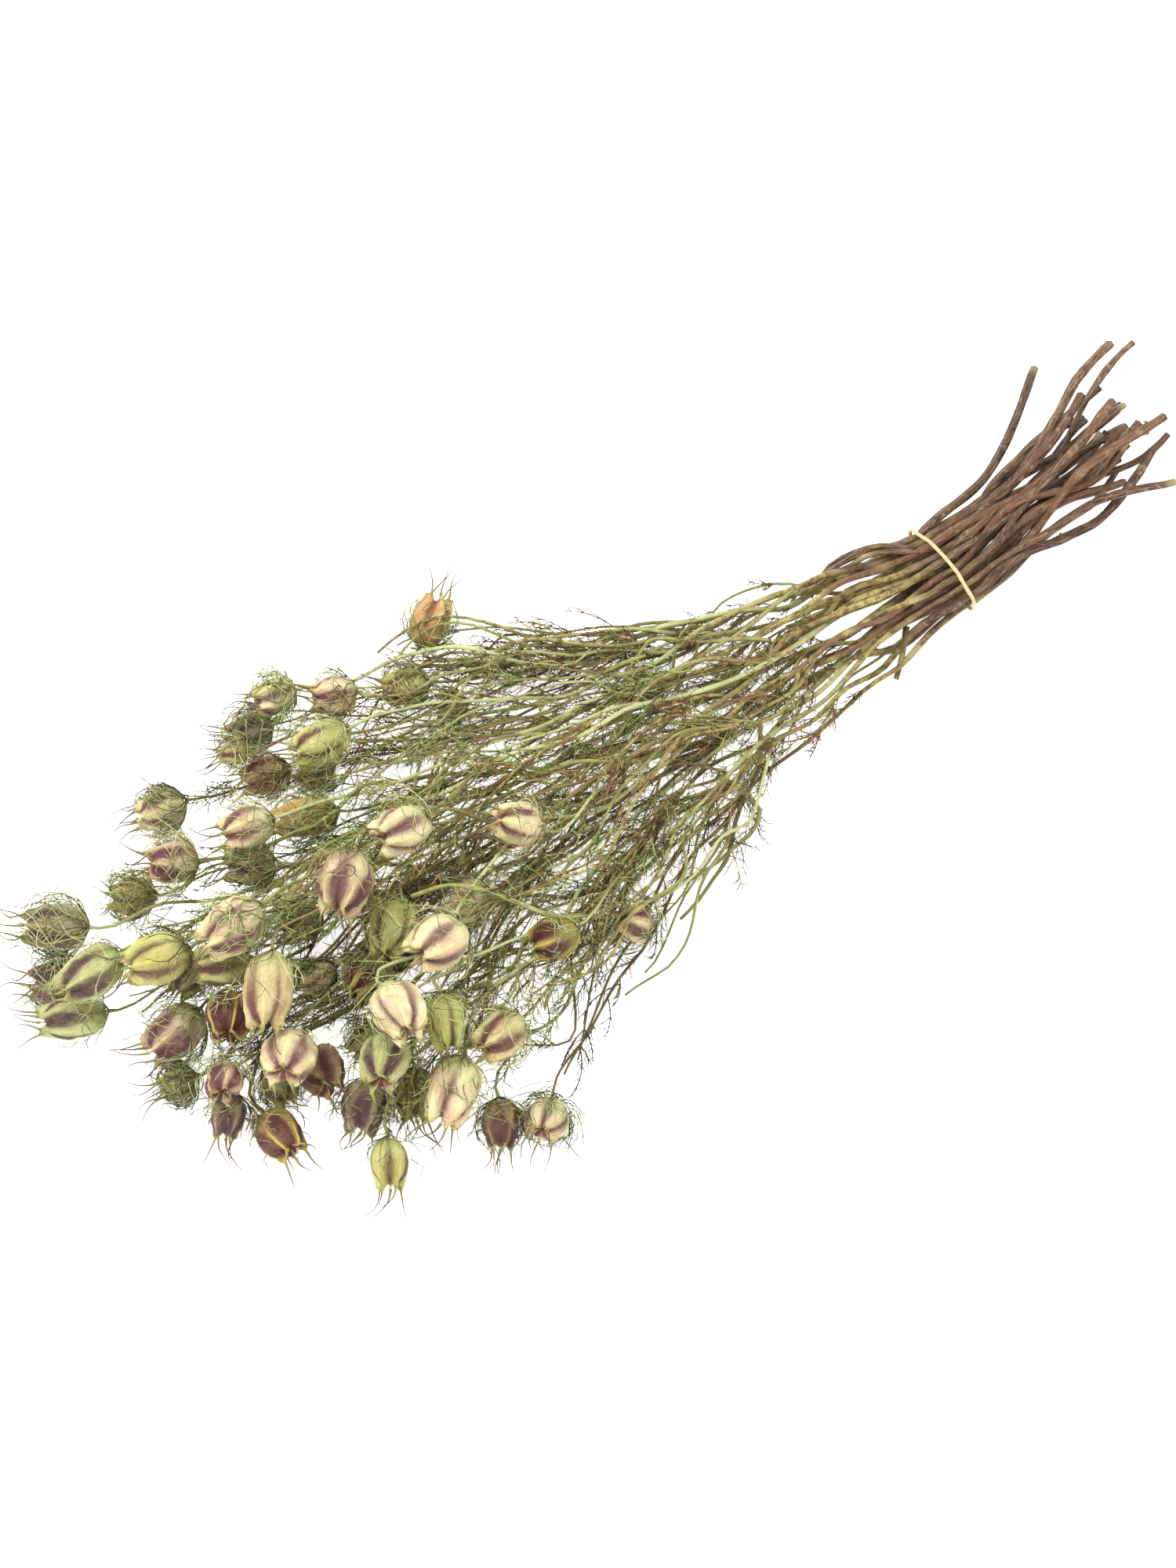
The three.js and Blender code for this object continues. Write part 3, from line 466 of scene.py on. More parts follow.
# Stems that would cross are bent clear of each other and of the pods, all by the same small steps
def settle_stems(stems, pods):
    counts = [len(stem.points) for stem in stems]
    offset = running(counts)
    owner, local, radius = [], [], []
    for number, stem in enumerate(stems):
        for k in range(counts[number] - 1):
            owner.append(number)
            local.append(k)
            radius.append((stem.radius(k) + stem.radius(k + 1)) / 2)
    owner, local, radius = np.array(owner), np.array(local), np.array(radius)
    first = offset[owner] + local
    points = np.concatenate([stem.points for stem in stems])
    low = np.minimum(points[first], points[first + 1])
    high = np.maximum(points[first], points[first + 1])
    one, two = pairs_of(stems, owner, local, low, high)
    pair_need = radius[one] + radius[two] + CLEARANCE
    goals = [stem.points[-2].copy() for stem in stems]

    ball_centre = np.array([pod.centre + pod.axis * side * max(0, pod.length - pod.width) / 2
                            for pod in pods for side in (1, -1)])
    ball_radius = np.repeat([pod.width / 2 + POD_MARGIN for pod in pods], 2)
    ball_pod = np.repeat(np.arange(len(pods)), 2)
    stem_pod = np.array([pods.index(stem.pod) if stem.pod else -1 for stem in stems])
    last = local == np.array(counts)[owner] - 2
    own = last[:, None] & (ball_pod[None, :] == stem_pod[owner][:, None])

    def push(moves, segment, share, shift):
        weight = (1 - share) ** 2 + share ** 2
        np.add.at(moves, first[segment], shift * ((1 - share) / weight)[:, None])
        np.add.at(moves, first[segment] + 1, shift * (share / weight)[:, None])

    for _ in range(SETTLE_STEPS):
        moves = np.zeros_like(points)
        start, end = points[first], points[first + 1]
        s, t = nearest(start[one], end[one], start[two], end[two])
        between = lerp(start[two], end[two], t[:, None]) - lerp(start[one], end[one], s[:, None])
        gap = np.sqrt((between ** 2).sum(1)) + 1e-6
        close = gap < pair_need
        shift = between[close] / gap[close][:, None] * ((pair_need - gap)[close] / 2)[:, None]
        push(moves, one[close], s[close], -shift)
        push(moves, two[close], t[close], shift)

        centre = ball_centre[None, :, :]
        s, _ = nearest(start[:, None, :], end[:, None, :], centre, centre)
        between = lerp(start[:, None, :], end[:, None, :], s[..., None]) - centre
        gap = np.sqrt((between ** 2).sum(-1)) + 1e-6
        need = ball_radius[None, :] + radius[:, None] + CLEARANCE
        segment, ball = np.nonzero((gap < need) & ~own)
        reach = gap[segment, ball]
        shift = between[segment, ball] / reach[:, None] * (need[segment, ball] - reach)[:, None]
        push(moves, segment, s[segment, ball], shift)

        for number, stem in enumerate(stems):
            here = slice(offset[number], offset[number + 1])
            line = points[here]
            bends = np.zeros_like(line)
            bends[1:-1] = ((line[:-2] + line[2:]) / 2 - line[1:-1]) * SMOOTHING
            bends[:, 0] = 0
            move = moves[here] * SETTLE_SHARE
            size = np.sqrt((move ** 2).sum(1))
            move *= np.where(size > LONGEST_MOVE, LONGEST_MOVE / np.maximum(size, 1e-12), 1)[:, None]
            free = np.ones(len(line), bool)
            free[stem.fixed] = False
            free[-1] = stem.pod is None
            line[free] += (move + bends)[free]
            line[-2] = lerp(line[-2], goals[number], GOAL_PULL)
            stem.points = line
            for k in np.nonzero(free)[0]:
                line[k][2] = max(line[k][2], stem.radius(k) + 0.05)
        for stem in stems:
            if stem.parent:
                path = stem.parent.points
                stem.points[0] = lerp(path[stem.join], path[stem.join + 1], stem.share)


# The horns' directions come from the pod's own solid: its five furthest corners round the axis
def turn_from_frame(pod, shift):
    across, other = pod.sides()
    mesh = frame["nodes"][pod.name].data
    places = np.array([v.co for v in mesh.vertices]) * 1000 - shift - pod.centre
    along = places @ pod.axis
    tips = places[np.argsort(along)[-5:]]
    angles = np.arctan2(tips @ other, tips @ across) * 5
    return math.atan2(np.sin(angles).mean(), np.cos(angles).mean()) / 5, tips


# A smooth line through points, with a step about every few millimetres
def smooth_line(points, step):
    points = np.asarray(points, float)
    ends = np.vstack([2 * points[0] - points[1], points, 2 * points[-1] - points[-2]])
    line, shares = [], []
    for k in range(1, len(points)):
        p0, p1, p2, p3 = ends[k - 1:k + 3]
        count = max(2, int(np.linalg.norm(p2 - p1) / step))
        for j in range(count):
            t = j / count
            m1, m2 = TENSION * (p2 - p0), TENSION * (p3 - p1)
            a = 2 * t ** 3 - 3 * t ** 2 + 1
            b = t ** 3 - 2 * t ** 2 + t
            c = -2 * t ** 3 + 3 * t ** 2
            d = t ** 3 - t ** 2
            line.append(a * p1 + b * m1 + c * p2 + d * m2)
            shares.append(k - 1 + t)
    line.append(points[-1])
    shares.append(len(points) - 1)
    return np.array(line), np.array(shares)


# Gathers vertices, faces and values for one piece
class Build:
    def __init__(self):
        self.points, self.uvs, self.values = [], [], {}
        self.faces, self.sizes, self.slots, self.periods = [], [], [], []
        self.total = 0

    # period is the U that a face crossing the seam runs on by
    def add(self, points, faces, uv=None, period=0, **values):
        points = np.asarray(points, float).reshape(-1, 3)
        self.points.append(points)
        self.uvs.append(np.zeros((len(points), 2)) if uv is None else np.asarray(uv, float))
        for name, value in values.items():
            self.values.setdefault(name, []).append(np.broadcast_to(value, len(points)).astype(float))
        self.total += len(points)
        self.more(faces, len(points), period=period)

    # Further faces on the points that were added last
    def more(self, faces, count, slot=0, period=0):
        self.faces.append((faces + self.total - count).ravel())
        self.sizes.append(np.full(len(faces), faces.shape[1]))
        self.slots.append(np.full(len(faces), slot))
        self.periods.append(np.full(len(faces), period))

    def piece(self, name, materials, shift):
        points = (np.concatenate(self.points) + shift) / 1000
        loops = np.concatenate(self.faces).astype(np.int32)
        sizes = np.concatenate(self.sizes).astype(np.int32)
        mesh = bpy.data.meshes.new(name)
        mesh.vertices.add(len(points))
        mesh.vertices.foreach_set("co", points.astype(np.float32).ravel())
        mesh.loops.add(len(loops))
        mesh.loops.foreach_set("vertex_index", loops)
        mesh.polygons.add(len(sizes))
        mesh.polygons.foreach_set("loop_start", (np.cumsum(sizes) - sizes).astype(np.int32))
        mesh.polygons.foreach_set("material_index", np.concatenate(self.slots).astype(np.int32))
        for material in materials:
            mesh.materials.append(material)
        mesh.update(calc_edges=True)
        mesh.validate()
        uv = np.concatenate(self.uvs)[loops]
        furthest = np.repeat(np.maximum.reduceat(uv[:, 0], np.cumsum(sizes) - sizes), sizes)
        period = np.repeat(np.concatenate(self.periods), sizes)
        uv[:, 0] += np.where(furthest - uv[:, 0] > period / 2, period, 0)
        layer = mesh.uv_layers.new(name="Map")
        layer.data.foreach_set("uv", uv.astype(np.float32).ravel())
        for key, value in self.values.items():
            attribute = mesh.attributes.new(key, "FLOAT", "POINT")
            attribute.data.foreach_set("value", np.concatenate(value).astype(np.float32))
        mesh.polygons.foreach_set("use_smooth", np.ones(len(sizes), bool))
        mesh.update()
        obj = bpy.data.objects.new(name, mesh)
        bpy.context.scene.collection.objects.link(obj)
        return obj


# Rings of corners square to a line, turned as little as possible from one to the next
def rings_along(line, radii, sides, ridge=0.0, turn=0.0):
    tangents = np.gradient(line, axis=0)
    tangents /= np.linalg.norm(tangents, axis=1)[:, None] + 1e-12
    side = np.array([0, 0, 1.0]) - tangents[0] * tangents[0][2]
    if np.linalg.norm(side) < 0.05:
        side = np.array([0, 1.0, 0])
    rings = []
    angle = turn + 2 * np.pi * np.arange(sides) / sides
    shape = 1 + ridge * np.cos(angle * sides / 2)
    for point, tangent, radius in zip(line, tangents, radii):
        side = side - tangent * (side @ tangent)
        side /= np.linalg.norm(side)
        other = np.cross(tangent, side)
        reach = radius * shape
        rings.append(point + ring_of(side, other, angle, reach))
    rings = np.array(rings)
    keep_above(rings, FLOOR_GAP)
    return rings


def tube_faces(rings, sides):
    k = np.arange(sides)
    base = np.stack([k, (k + 1) % sides, (k + 1) % sides + sides, k + sides], 1)
    return (base[None] + (np.arange(rings - 1) * sides)[:, None, None]).reshape(-1, 4)


def add_tube(build, line, radii, sides, ridge=0.0, cut_slot=0, **values):
    rings = rings_along(line, radii, sides, ridge)
    count = len(line)
    lengths = lengths_along(line)
    uv = map_of(np.arange(sides)[None] / sides, lengths[:, None])
    spread = {key: np.repeat(np.broadcast_to(value, count), sides) for key, value in values.items()}
    build.add(rings, tube_faces(count, sides), uv, 1, **spread)
    build.more(np.arange(sides)[::-1][None], count * sides, cut_slot)
    build.more(np.arange(sides)[None] + (count - 1) * sides, count * sides)


# Many fine threads at once, each three-sided and ending in a point: lines is (threads, points, 3)
def add_threads(build, lines, radius, dry, tone):
    lines = np.asarray(lines, float)
    count, steps, _ = lines.shape
    tangents = unit(np.gradient(lines, axis=1))
    side = unit(np.cross(tangents, np.array(ASIDE)))
    other = np.cross(tangents, side)
    taper = np.linspace(1, 0.55, steps)[None, :, None]
    reach = np.broadcast_to(radius, count)[:, None, None] * taper
    corners = [lines + reach * (side * math.cos(a) + other * math.sin(a)) for a in THREAD_CORNERS]
    points = np.stack(corners, 2)[:, :-1].reshape(count, -1, 3)
    points = np.concatenate([points, lines[:, -1:]], 1)
    keep_above(points, FLOOR_GAP)
    each = points.shape[1]
    starts = (np.arange(count) * each)[:, None, None]
    last = each - 1
    ends = np.array([[last - 3, last - 2, last], [last - 2, last - 1, last], [last - 1, last - 3, last],
                     [2, 1, 0]])
    faces = (tube_faces(steps - 1, 3)[None] + starts).reshape(-1, 4)
    build.add(points, faces, dry=np.repeat(dry, each), tone=np.repeat(tone, each))
    build.more((ends[None] + starts).reshape(-1, 3), count * each)


# Material nodes by short calls: numbers, colours and sockets go to the named inputs
class Nodes:
    def __init__(self, name):
        self.material = bpy.data.materials.new(name)
        self.material.use_nodes = True
        self.tree = self.material.node_tree
        self.tree.nodes.clear()
        self.shader = self.make("ShaderNodeBsdfPrincipled")
        self.place = self.make("ShaderNodeTexCoord").outputs["Object"]
        self.colour = None
        output = self.make("ShaderNodeOutputMaterial")
        self.tree.links.new(self.shader.outputs[0], output.inputs[0])

    def make(self, kind, options=None, **inputs):
        made = self.tree.nodes.new(kind)
        for key, value in (options or {}).items():
            setattr(made, key, value)
        for key, value in inputs.items():
            self.put(made, key.replace("_", " "), value)
        return made

    def put(self, made, key, value):
        socket = made.inputs[int(key[1:])] if key[0] == "i" and key[1:].isdigit() else made.inputs[key]
        if isinstance(value, bpy.types.NodeSocket):
            self.tree.links.new(value, socket)
        elif isinstance(value, tuple) and len(value) == 3 and socket.type == "RGBA":
            socket.default_value = (*value, 1)
        else:
            socket.default_value = value

    def value(self, name):
        return self.make("ShaderNodeAttribute", {"attribute_name": name}).outputs["Fac"]

    def math(self, operation, a, b=0.0):
        return self.make("ShaderNodeMath", {"operation": operation}, i0=a, i1=b).outputs[0]

    def add(self, a, b):
        return self.math("ADD", a, b)

    def times(self, a, b):
        return self.math("MULTIPLY", a, b)

    # How far a value is from its middle, times a number
    def swing(self, value, size, middle=0.5):
        return self.times(self.math("SUBTRACT", value, middle), size)

    # A smooth step from one number to another while the value runs from low to high
    def span(self, value, low, high, first=0.0, last=1.0):
        return self.make("ShaderNodeMapRange", {"interpolation_type": "SMOOTHSTEP"}, Value=value,
                         From_Min=low, From_Max=high, To_Min=first, To_Max=last).outputs[0]

    def mix(self, share, a, b, blend="MIX"):
        options = {"data_type": "RGBA", "blend_type": blend}
        return self.make("ShaderNodeMix", options, i0=share, i6=a, i7=b).outputs[2]

    # A colour over those laid on so far
    def coat(self, share, over, blend="MIX"):
        self.colour = self.mix(share, self.colour, over, blend)

    def noise(self, scale, detail, rough, vector=None):
        return self.make("ShaderNodeTexNoise", Vector=vector or self.place, Scale=scale, Detail=detail,
                         Roughness=rough).outputs[0]

    # Patches of a noise where it runs from low to high
    def patches(self, scale, detail, rough, low, high, first=0.0, last=1.0):
        return self.span(self.noise(scale, detail, rough), low, high, first, last)

    # The piece's own map, and the same map stretched
    def map(self):
        return self.make("ShaderNodeUVMap", {"uv_map": "Map"}).outputs[0]

    def stretch(self, vector, scale):
        return self.make("ShaderNodeMapping", i0=vector, Scale=scale).outputs[0]

    # Painted shade: colours darken towards the floor, where the undersides lie in shade
    def shade(self, colour, least):
        height = self.make("ShaderNodeSeparateXYZ", i0=self.place).outputs[2]
        tone = self.span(height, *PAINTED_SHADE_HEIGHTS, least, 1.0)
        return self.mix(1.0, colour, tone, "MULTIPLY")

    def bump(self, height, strength, distance):
        made = self.make("ShaderNodeBump", Height=height, Strength=strength, Distance=distance)
        self.put(self.shader, "Normal", made.outputs[0])

    def finish(self, **inputs):
        for key, value in inputs.items():
            self.put(self.shader, key.replace("_", " "), value)
        return self.material


# Heights in metres between which the painted shade near the floor fades to none
PAINTED_SHADE_HEIGHTS = (0.002, 0.032)


# A colour made darker, lighter or of another hue
def tinted(colour, by):
    return tuple(float(c) for c in np.multiply(colour, by))


# Pale skin, second skin colour, band colour, band width as a share of half a lobe, ridge strength
POD_TONES = {
    "purple": ((0.43, 0.34, 0.23), (0.27, 0.18, 0.13), (0.075, 0.028, 0.038), 0.80, 0.45),
    "green": ((0.56, 0.57, 0.27), (0.42, 0.43, 0.17), (0.065, 0.022, 0.032), 0.56, 0.40),
    "lime": ((0.59, 0.57, 0.23), (0.42, 0.40, 0.10), (0.105, 0.034, 0.034), 0.38, 0.55),
    "blush": ((0.80, 0.67, 0.43), (0.62, 0.42, 0.31), (0.110, 0.030, 0.040), 0.46, 0.75),
    "pink": ((0.68, 0.55, 0.37), (0.50, 0.28, 0.22), (0.110, 0.030, 0.040), 0.58, 0.65),
    "dark": ((0.56, 0.42, 0.12), (0.22, 0.09, 0.06), (0.075, 0.016, 0.022), 0.82, 0.95),
    "tan": ((0.68, 0.56, 0.31), (0.50, 0.37, 0.18), (0.120, 0.042, 0.038), 0.40, 0.85),
    "cream": ((0.84, 0.74, 0.44), (0.69, 0.51, 0.31), (0.115, 0.036, 0.042), 0.39, 0.75),
    "brown": ((0.38, 0.27, 0.15), (0.22, 0.135, 0.075), (0.080, 0.030, 0.024), 0.58, 0.55),
    "olive": ((0.40, 0.37, 0.13), (0.26, 0.24, 0.08), (0.080, 0.034, 0.026), 0.45, 0.45),
    "orange": ((0.68, 0.42, 0.18), (0.50, 0.24, 0.09), (0.150, 0.060, 0.032), 0.28, 0.60),
}


def pod_material(tone):
    skin, second, band, reach, ridge = POD_TONES[tone]
    n = Nodes(f"pod_{tone}")
    uv = n.map()
    split = n.make("ShaderNodeSeparateXYZ", i0=uv)
    lobes, height = split.outputs[0], split.outputs[1]
    coarse = n.noise(110, 3, 0.6)
    grain = n.noise(420, 4, 0.7)
    fine = n.noise(1300, 3, 0.65)
    crest = n.math("PINGPONG", n.times(lobes, 2.0), 1.0)
    wobble = n.add(n.swing(coarse, 0.5), n.swing(grain, 0.42))
    wobble = n.add(wobble, n.swing(fine, 0.34))
    ragged = n.add(crest, wobble)
    tint = n.value("tint")

    lilac = tuple(lerp(b, c, 0.42) for b, c in zip(band, second))
    n.colour = n.mix(n.patches(75, 4, 0.6, 0.42, 0.68), skin, second)
    leafy = n.times(n.span(height, 0.45, 0.0), 0.65)
    n.coat(leafy, tinted(skin, (0.52, 0.74, 0.42)))
    greenish = n.times(n.patches(48, 2, 0.5, 0.46, 0.64), tint)
    n.coat(greenish, tinted(skin, (0.72, 0.90, 0.50)))
    pinkish = n.times(n.patches(62, 3, 0.6, 0.46, 0.66), n.span(height, 0.2, 0.8, 0.1, 0.55))
    n.coat(pinkish, tinted(second, (1.02, 0.74, 0.86)))
    local = n.add(n.patches(34, 2, 0.5, 0.30, 0.70, 0.45, 1.15), n.swing(0.4, 1.1, tint))
    length = n.times(n.span(height, 0.05, 0.85, 0.30, 1.0), local)
    groove = n.math("FLOORED_MODULO", n.add(lobes, 0.5), 5.0)
    groove = n.add(n.math("FLOOR", groove), n.times(tint, 77.0))
    strength = n.make("ShaderNodeTexWhiteNoise", {"noise_dimensions": "1D"}, W=groove).outputs[0]
    weakest = lerp(0.25, 1.0, min(1, max(0, (reach - 0.40) / 0.30)))
    length = n.times(length, n.span(strength, 0.05, 0.75, weakest, 1.15))
    inside = n.math("SUBTRACT", n.times(length, reach), ragged)
    wash = n.times(n.span(inside, -0.55, 0.05), n.span(grain, 0.30, 0.60, 0.35, 0.85))
    n.coat(n.times(wash, n.span(height, 0.1, 0.7, 0.25, 0.9)), lilac)
    core = n.times(n.span(inside, -0.26, 0.14), n.span(coarse, 0.30, 0.52, 0.60, 1.0))
    core = n.times(core, n.span(fine, 0.34, 0.52, 0.68, 1.0))
    n.coat(n.times(core, n.span(height, 0.10, 0.55, 0.35, 1.0)), band)
    line = n.times(n.span(crest, 0.84, 0.97), n.span(height, 0.35, 0.8, 0.1, ridge))
    n.coat(line, tinted(skin, (1.15, 1.18, 0.68)))

    fibre = n.noise(1.6, 4.0, 0.65, n.stretch(uv, (13, 1.6, 1)))
    n.coat(n.times(n.span(fibre, 0.50, 0.70), 0.45), tinted(second, 0.5))
    warp = n.make("ShaderNodeTexNoise", Vector=uv, Scale=6.0, Detail=2.0).outputs["Color"]
    warped = n.mix(0.16, n.stretch(uv, (2.2, 7.0, 1)), warp, "LINEAR_LIGHT")
    net = n.make("ShaderNodeTexVoronoi", {"feature": "DISTANCE_TO_EDGE"}, Vector=warped, Scale=1.3)
    veins = n.span(net.outputs[0], 0.05, 0.0)
    n.coat(n.times(veins, 0.20), tinted(second, 0.4))
    n.coat(n.times(n.span(fine, 0.30, 0.62), 0.25), (0.92, 0.88, 0.74), "SOFT_LIGHT")
    star = n.times(n.span(height, 0.962, 0.975), n.span(height, 1.03, 1.01))
    rust = n.mix(n.span(crest, 0.76, 0.95), (0.21, 0.075, 0.040), (0.60, 0.46, 0.18))
    n.coat(n.times(star, n.span(grain, 0.3, 0.6, 0.45, 0.9)), rust)
    horn = n.mix(n.span(height, 1.12, 1.50), (0.30, 0.29, 0.11), (0.130, 0.075, 0.040))
    n.coat(n.span(height, 1.02, 1.12), horn)
    relief = n.add(n.times(coarse, 1.6), grain)
    n.bump(n.add(fibre, relief), 0.9, 0.0008)
    rough = n.span(grain, 0.3, 0.7, 0.48, 0.72)
    return n.finish(Base_Color=n.colour, Roughness=rough, Specular_IOR_Level=0.35)


def stem_material():
    n = Nodes("stem_bark")
    hue = n.value("hue")
    shift = n.swing(n.noise(38, 3, 0.6), 0.50)
    age = n.add(n.value("age"), shift)
    lines = n.noise(2.4, 4.0, 0.7, n.stretch(n.map(), (8, 0.045, 1)))
    blotches = n.noise(260, 4, 0.7)
    brown = n.mix(n.span(lines, 0.42, 0.60), (0.060, 0.028, 0.015), (0.400, 0.255, 0.150))
    red = n.times(n.span(hue, 0.6, 0.9), 0.5)
    deep = n.mix(n.span(lines, 0.42, 0.62), (0.045, 0.020, 0.012), (0.240, 0.125, 0.070))
    brown = n.mix(red, brown, (0.235, 0.092, 0.042))
    brown = n.mix(n.span(n.math("FRACT", n.times(hue, 7.0)), 0.3, 0.9, 0.0, 0.75), brown, deep)
    brown = n.mix(n.times(n.span(blotches, 0.54, 0.70), 0.55), brown, (0.56, 0.44, 0.29))
    patched = n.add(n.times(blotches, 0.6), n.times(lines, 0.4))
    mottled = n.mix(n.span(patched, 0.44, 0.58), (0.62, 0.52, 0.17), (0.170, 0.088, 0.040))
    green = n.mix(n.span(lines, 0.36, 0.64), (0.090, 0.095, 0.022), (0.76, 0.74, 0.25))
    green = n.mix(n.span(hue, 0.62, 0.90), green, (0.72, 0.78, 0.36))
    green = n.mix(n.times(n.span(hue, 0.34, 0.12), 0.8), green, (0.31, 0.19, 0.085))
    patches = n.times(n.patches(50, 4, 0.6, 0.52, 0.66), 0.8)
    green = n.mix(patches, green, (0.30, 0.20, 0.090))
    colour = n.mix(n.span(age, 0.24, 0.40), brown, mottled)
    colour = n.mix(n.span(age, 0.40, 0.62), colour, green)
    colour = n.mix(n.value("pale"), colour, (0.62, 0.52, 0.25))
    # Painted shade: the bark darkens towards the floor
    colour = n.shade(colour, 0.75)
    n.bump(n.add(lines, n.times(blotches, 0.5)), 1.0, 0.0010)
    rough = n.span(lines, 0.3, 0.7, 0.45, 0.75)
    return n.finish(Base_Color=colour, Roughness=rough, Specular_IOR_Level=0.35)


def cut_material():
    n = Nodes("cut_wood")
    rings = n.noise(1500, 3, 0.7)
    colour = n.mix(n.span(rings, 0.35, 0.65), (0.62, 0.50, 0.32), (0.36, 0.22, 0.12))
    n.bump(rings, 0.5, 0.0003)
    return n.finish(Base_Color=colour, Roughness=0.85)


# Fresh, golden, shaded and dry colours
THREAD_TONES = {
    "leaf": ((0.38, 0.50, 0.17), (0.56, 0.50, 0.17), (0.042, 0.052, 0.013), (0.42, 0.23, 0.11)),
    "bract": ((0.54, 0.63, 0.29), (0.62, 0.57, 0.25), (0.130, 0.140, 0.042), (0.38, 0.23, 0.12)),
}


# Thread leaves: green, drying to brown by the value given to each leaf
def thread_material(name, fresh, gold, dark, brown):
    n = Nodes(name)
    patch = n.noise(90, 3, 0.6)
    fine = n.noise(520, 3, 0.7)
    golden = n.mix(n.patches(60, 2, 0.5, 0.40, 0.60), fresh, gold)
    light = n.add(n.value("tone"), n.swing(fine, 0.8))
    light = n.span(light, 0.15, 0.70)
    colour = n.mix(light, dark, golden)
    dry = n.add(n.value("dry"), n.swing(patch, 0.9))
    dried = n.mix(light, tinted(brown, 0.18), brown)
    # Painted shade: the threads darken towards the floor
    colour = n.shade(n.mix(n.span(dry, 0.42, 0.62), colour, dried), 0.35)
    n.bump(fine, 0.4, 0.0001)
    return n.finish(Base_Color=colour, Roughness=0.7, Specular_IOR_Level=0.25)


def tie_material():
    n = Nodes("tie_fibre")
    lines = n.noise(3.0, 5.0, 0.7, n.stretch(n.map(), (0.1, 14, 1)))
    colour = n.mix(n.span(lines, 0.32, 0.68), (0.80, 0.66, 0.40), (0.56, 0.42, 0.21))
    n.bump(lines, 0.9, 0.0003)
    return n.finish(Base_Color=colour, Roughness=0.6, Specular_IOR_Level=0.3)


# Fine pods, stems and threads
POD_SIDES = 50
POD_STEPS = 24
STAR_RINGS = [[0.80, 0.0], [0.52, 0.035], [0.24, 0.06]]   # share of the rim's width, depth share
STAR_DEPTH = 0.30
GROOVE_WIDTH = 0.22         # as a share of half a lobe, like the rib's
RIB_WIDTH = 0.10
SKIN_TOP = 0.965            # height share where the skin ends and the star begins
SWELL = [0.10, 0.17]
SQUASH = [0.87, 1.0]
LOBE_SIZES = [0.92, 1.05]
DENTS = [0.04, 0.10]
DENT_SCALES = [0.14, 0.23, 0.55]         # dents, creases and fine wrinkles, in waves a millimetre
HORN_SIDES = 5
HORN_STEPS = 9
HORN_LEAN = 3.5
HORN_RADII = [0.36, 0.16]
WOOD_STEP = 5
WOOD_SIDES = [10, 7]        # of main stems and side shoots
WOOD_RIDGE = 0.13
FAN_THIN = [0.42, 0.68]     # stems are thinner than their solids, in the fan and at the cut ends
END_THIN = [0.56, 0.92]
NODE_STEP = [24, 42]
SCAR_SHARE = 0.6
PALE_SHARE = 0.2
GATHER = 0.22               # how far the cut ends draw together behind the tie
WAVES = [[[0.03, 0.07], [2, 5]]] * 4 + [[[0.10, 0.17], [0.5, 1.6]]] * 2      # pace and size of bends
MATS = 1480                 # divided leaves in the fan
MAT_START = -58
MAT_END = -372
LEAF_SIZES = [9, 24]
LEAF_RADII = [[0.22, 0.36], [0.17, 0.27], [0.13, 0.21]]      # of midribs, branches and forks
TWIG_START = -22
TWIGS = 130                 # thin side twigs without pods
LOOPS = [5, 3, 0, 0, 0, 0, 0, 3, 6]        # bare shoots that bow out of the fan, by column
STRANDS = [7, 92]           # bract strands round a pod, from the barest to the most wrapped
STRAND_STEPS = 10
STRAND_TOPS = [0.10, 0.62]  # height share that the strands reach, from the barest to the most wrapped
STRAND_RADII = [[0.18, 0.32], [0.13, 0.22]]                  # of strands and forks
ASIDE = [0.31, 0.52, 0.79]  # no thread runs this way
THREAD_CORNERS = [0, 2.0944, 4.1888]
MAT_HITS = 0.7              # share of the places drawn that lie in the fan
TIE_DIRECTIONS = 72         # in which the outermost stems are looked for
TIE_RINGS = 150
TIE_SIDES = 12


